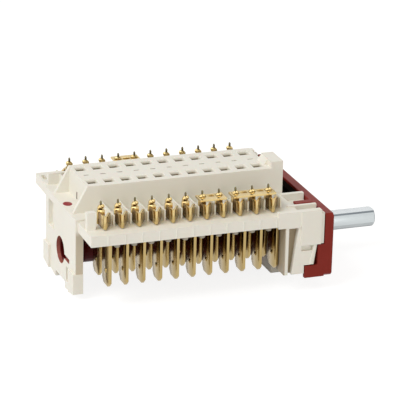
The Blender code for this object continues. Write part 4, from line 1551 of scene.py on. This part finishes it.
@dataclass(frozen=True)
class Lamp:
    """One square lamp that faces the object.

    Attributes:
        name: The lamp's name.
        place: Where it hangs, in metres.
        power: Its power in watts.
        colour: The colour of its light.
        size: Length of its side in metres.
        aim: Where it looks, in metres.
    """

    name: str
    place: Triple
    power: float
    colour: Triple
    size: float = 0.5
    aim: Triple = (0.0, 0.0, 0.015)

    def hang(self) -> None:
        """Add the lamp to the scene and turn it to the object."""
        data = bpy.data.lights.new(self.name, "AREA")
        data.size = self.size
        data.energy = self.power
        data.color = self.colour
        lamp = bpy.data.objects.new(self.name, data)
        lamp.location = self.place
        way = Vector(self.aim) - Vector(self.place)
        lamp.rotation_euler = way.to_track_quat("-Z", "Y").to_euler()
        bpy.context.scene.collection.objects.link(lamp)


KEY = Lamp("key", (-0.55, -0.18, 0.62), 4.0, (0.98, 0.99, 1.0))
FILL = Lamp("fill", (0.12, -0.90, 0.25), 1.25, (1.0, 0.98, 0.95))


@dataclass
class Studio:
    """The camera fitted to the photograph, the floor, the world and the lamps."""

    picture: float = 412.0
    focal_px: float = 2377.6
    sensor: float = 36.0
    azimuth: float = -20.49
    elevation: float = 20.464
    roll: float = 1.473
    offset: Triple = (-36.042, -11.857, 684.37)
    clip: Pair = (0.01, 20.0)
    floor_size: float = 3.0
    floor_drop: float = 0.0002
    floor_glow: float = 0.85
    floor_grey: float = 0.3
    bounce_grey: float = 0.8
    world_level: float = 0.48
    world_colour: Triple = (1.0, 0.96, 0.90)
    lamps: tuple[Lamp, ...] = (KEY, FILL)

    def build(self) -> None:
        """Set up the whole studio."""
        self._camera()
        self._world()
        self._floor()
        self._lamps()
        bpy.context.scene.view_settings.view_transform = "Standard"

    def _axes(self) -> tuple[Vector, Vector, Vector]:
        """Turn the camera's angles into directions.

        Returns:
            The camera's right, up and back directions.
        """
        a, e, r = (math.radians(v) for v in (self.azimuth, self.elevation, self.roll))
        back = Vector((math.sin(a) * math.cos(e), -math.cos(a) * math.cos(e), math.sin(e)))
        right = (-back).cross(Vector((0.0, 0.0, 1.0))).normalized()
        up = right.cross(-back)
        turned = math.cos(r) * right + math.sin(r) * up
        raised = -math.sin(r) * right + math.cos(r) * up
        return turned, raised, back

    def _camera(self) -> None:
        """Stand the camera where the photograph was taken."""
        right, up, back = self._axes()
        x, y, z = self.offset
        place = -(x * right + y * up - z * back)
        data = bpy.data.cameras.new("camera")
        data.sensor_width = self.sensor
        data.lens = self.focal_px * self.sensor / self.picture
        data.clip_start, data.clip_end = self.clip
        camera = bpy.data.objects.new("camera", data)
        turn = Matrix((right, up, back)).transposed().to_4x4()
        camera.matrix_world = Matrix.Translation(at(*place)) @ turn
        bpy.context.scene.collection.objects.link(camera)
        bpy.context.scene.camera = camera

    def _world(self) -> None:
        """Show white to the camera and light the object evenly and softly."""
        world = bpy.data.worlds.new("studio")
        bpy.context.scene.world = world
        world.use_nodes = True
        nodes, links = world.node_tree.nodes, world.node_tree.links
        nodes.clear()
        seen = nodes.new("ShaderNodeBackground")
        seen.inputs["Color"].default_value = WHITE
        seen.inputs["Strength"].default_value = 1.0
        light = nodes.new("ShaderNodeBackground")
        light.inputs["Color"].default_value = (*self.world_colour, 1.0)
        light.inputs["Strength"].default_value = self.world_level
        self._split(nodes, links, seen, light, nodes.new("ShaderNodeOutputWorld"))

    def _split(
        self,
        nodes: bpy.types.Nodes,
        links: bpy.types.NodeLinks,
        seen: bpy.types.Node,
        light: bpy.types.Node,
        output: bpy.types.Node,
    ) -> None:
        """Use one shader for camera, glossy and clear rays, and another for the rest.

        Args:
            nodes: The node tree's nodes.
            links: The node tree's links.
            seen: The shader for camera, glossy and clear rays.
            light: The shader for all other rays.
            output: The output node.
        """
        path = nodes.new("ShaderNodeLightPath")
        add = nodes.new("ShaderNodeMath")
        add.operation = "MAXIMUM"
        links.new(path.outputs["Is Camera Ray"], add.inputs[0])
        links.new(path.outputs["Is Glossy Ray"], add.inputs[1])
        more = nodes.new("ShaderNodeMath")
        more.operation = "MAXIMUM"
        links.new(add.outputs[0], more.inputs[0])
        links.new(path.outputs["Is Transmission Ray"], more.inputs[1])
        mix = nodes.new("ShaderNodeMixShader")
        links.new(more.outputs[0], mix.inputs[0])
        links.new(light.outputs[0], mix.inputs[1])
        links.new(seen.outputs[0], mix.inputs[2])
        links.new(mix.outputs[0], output.inputs["Surface"])

    def _floor(self) -> None:
        """Lay the pale floor: white where it is seen, with the object's soft shadow kept."""
        place = (0.0, 0.0, -self.floor_drop)
        bpy.ops.mesh.primitive_plane_add(size=self.floor_size, location=place)
        floor = settle(bpy.context.object, "floor")
        made = bpy.data.materials.new("floor")
        made.use_nodes = True
        nodes, links = made.node_tree.nodes, made.node_tree.links
        nodes.clear()
        glow = nodes.new("ShaderNodeEmission")
        glow.inputs["Strength"].default_value = self.floor_glow
        matt = nodes.new("ShaderNodeBsdfDiffuse")
        matt.inputs["Color"].default_value = (*[self.floor_grey] * 3, 1.0)
        both = nodes.new("ShaderNodeAddShader")
        links.new(glow.outputs[0], both.inputs[0])
        links.new(matt.outputs[0], both.inputs[1])
        plain = nodes.new("ShaderNodeBsdfDiffuse")
        plain.inputs["Color"].default_value = (*[self.bounce_grey] * 3, 1.0)
        self._split(nodes, links, both, plain, nodes.new("ShaderNodeOutputMaterial"))
        floor.data.materials.append(made)

    def _lamps(self) -> None:
        """Hang the lamps."""
        for lamp in self.lamps:
            lamp.hang()


def main() -> None:
    """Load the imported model, dress it piece by piece and set up the studio."""
    logging.basicConfig(level=logging.INFO, format="%(name)s: %(message)s")
    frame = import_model()
    nodes = frame["nodes"]
    Studio().build()
    Housing().build(nodes)
    for side in Side:
        Terminals(side).build()
    Bridges().build(nodes)
    Rotor().build(nodes)
    Front().build(nodes)


if __name__ == "__main__":
    main()
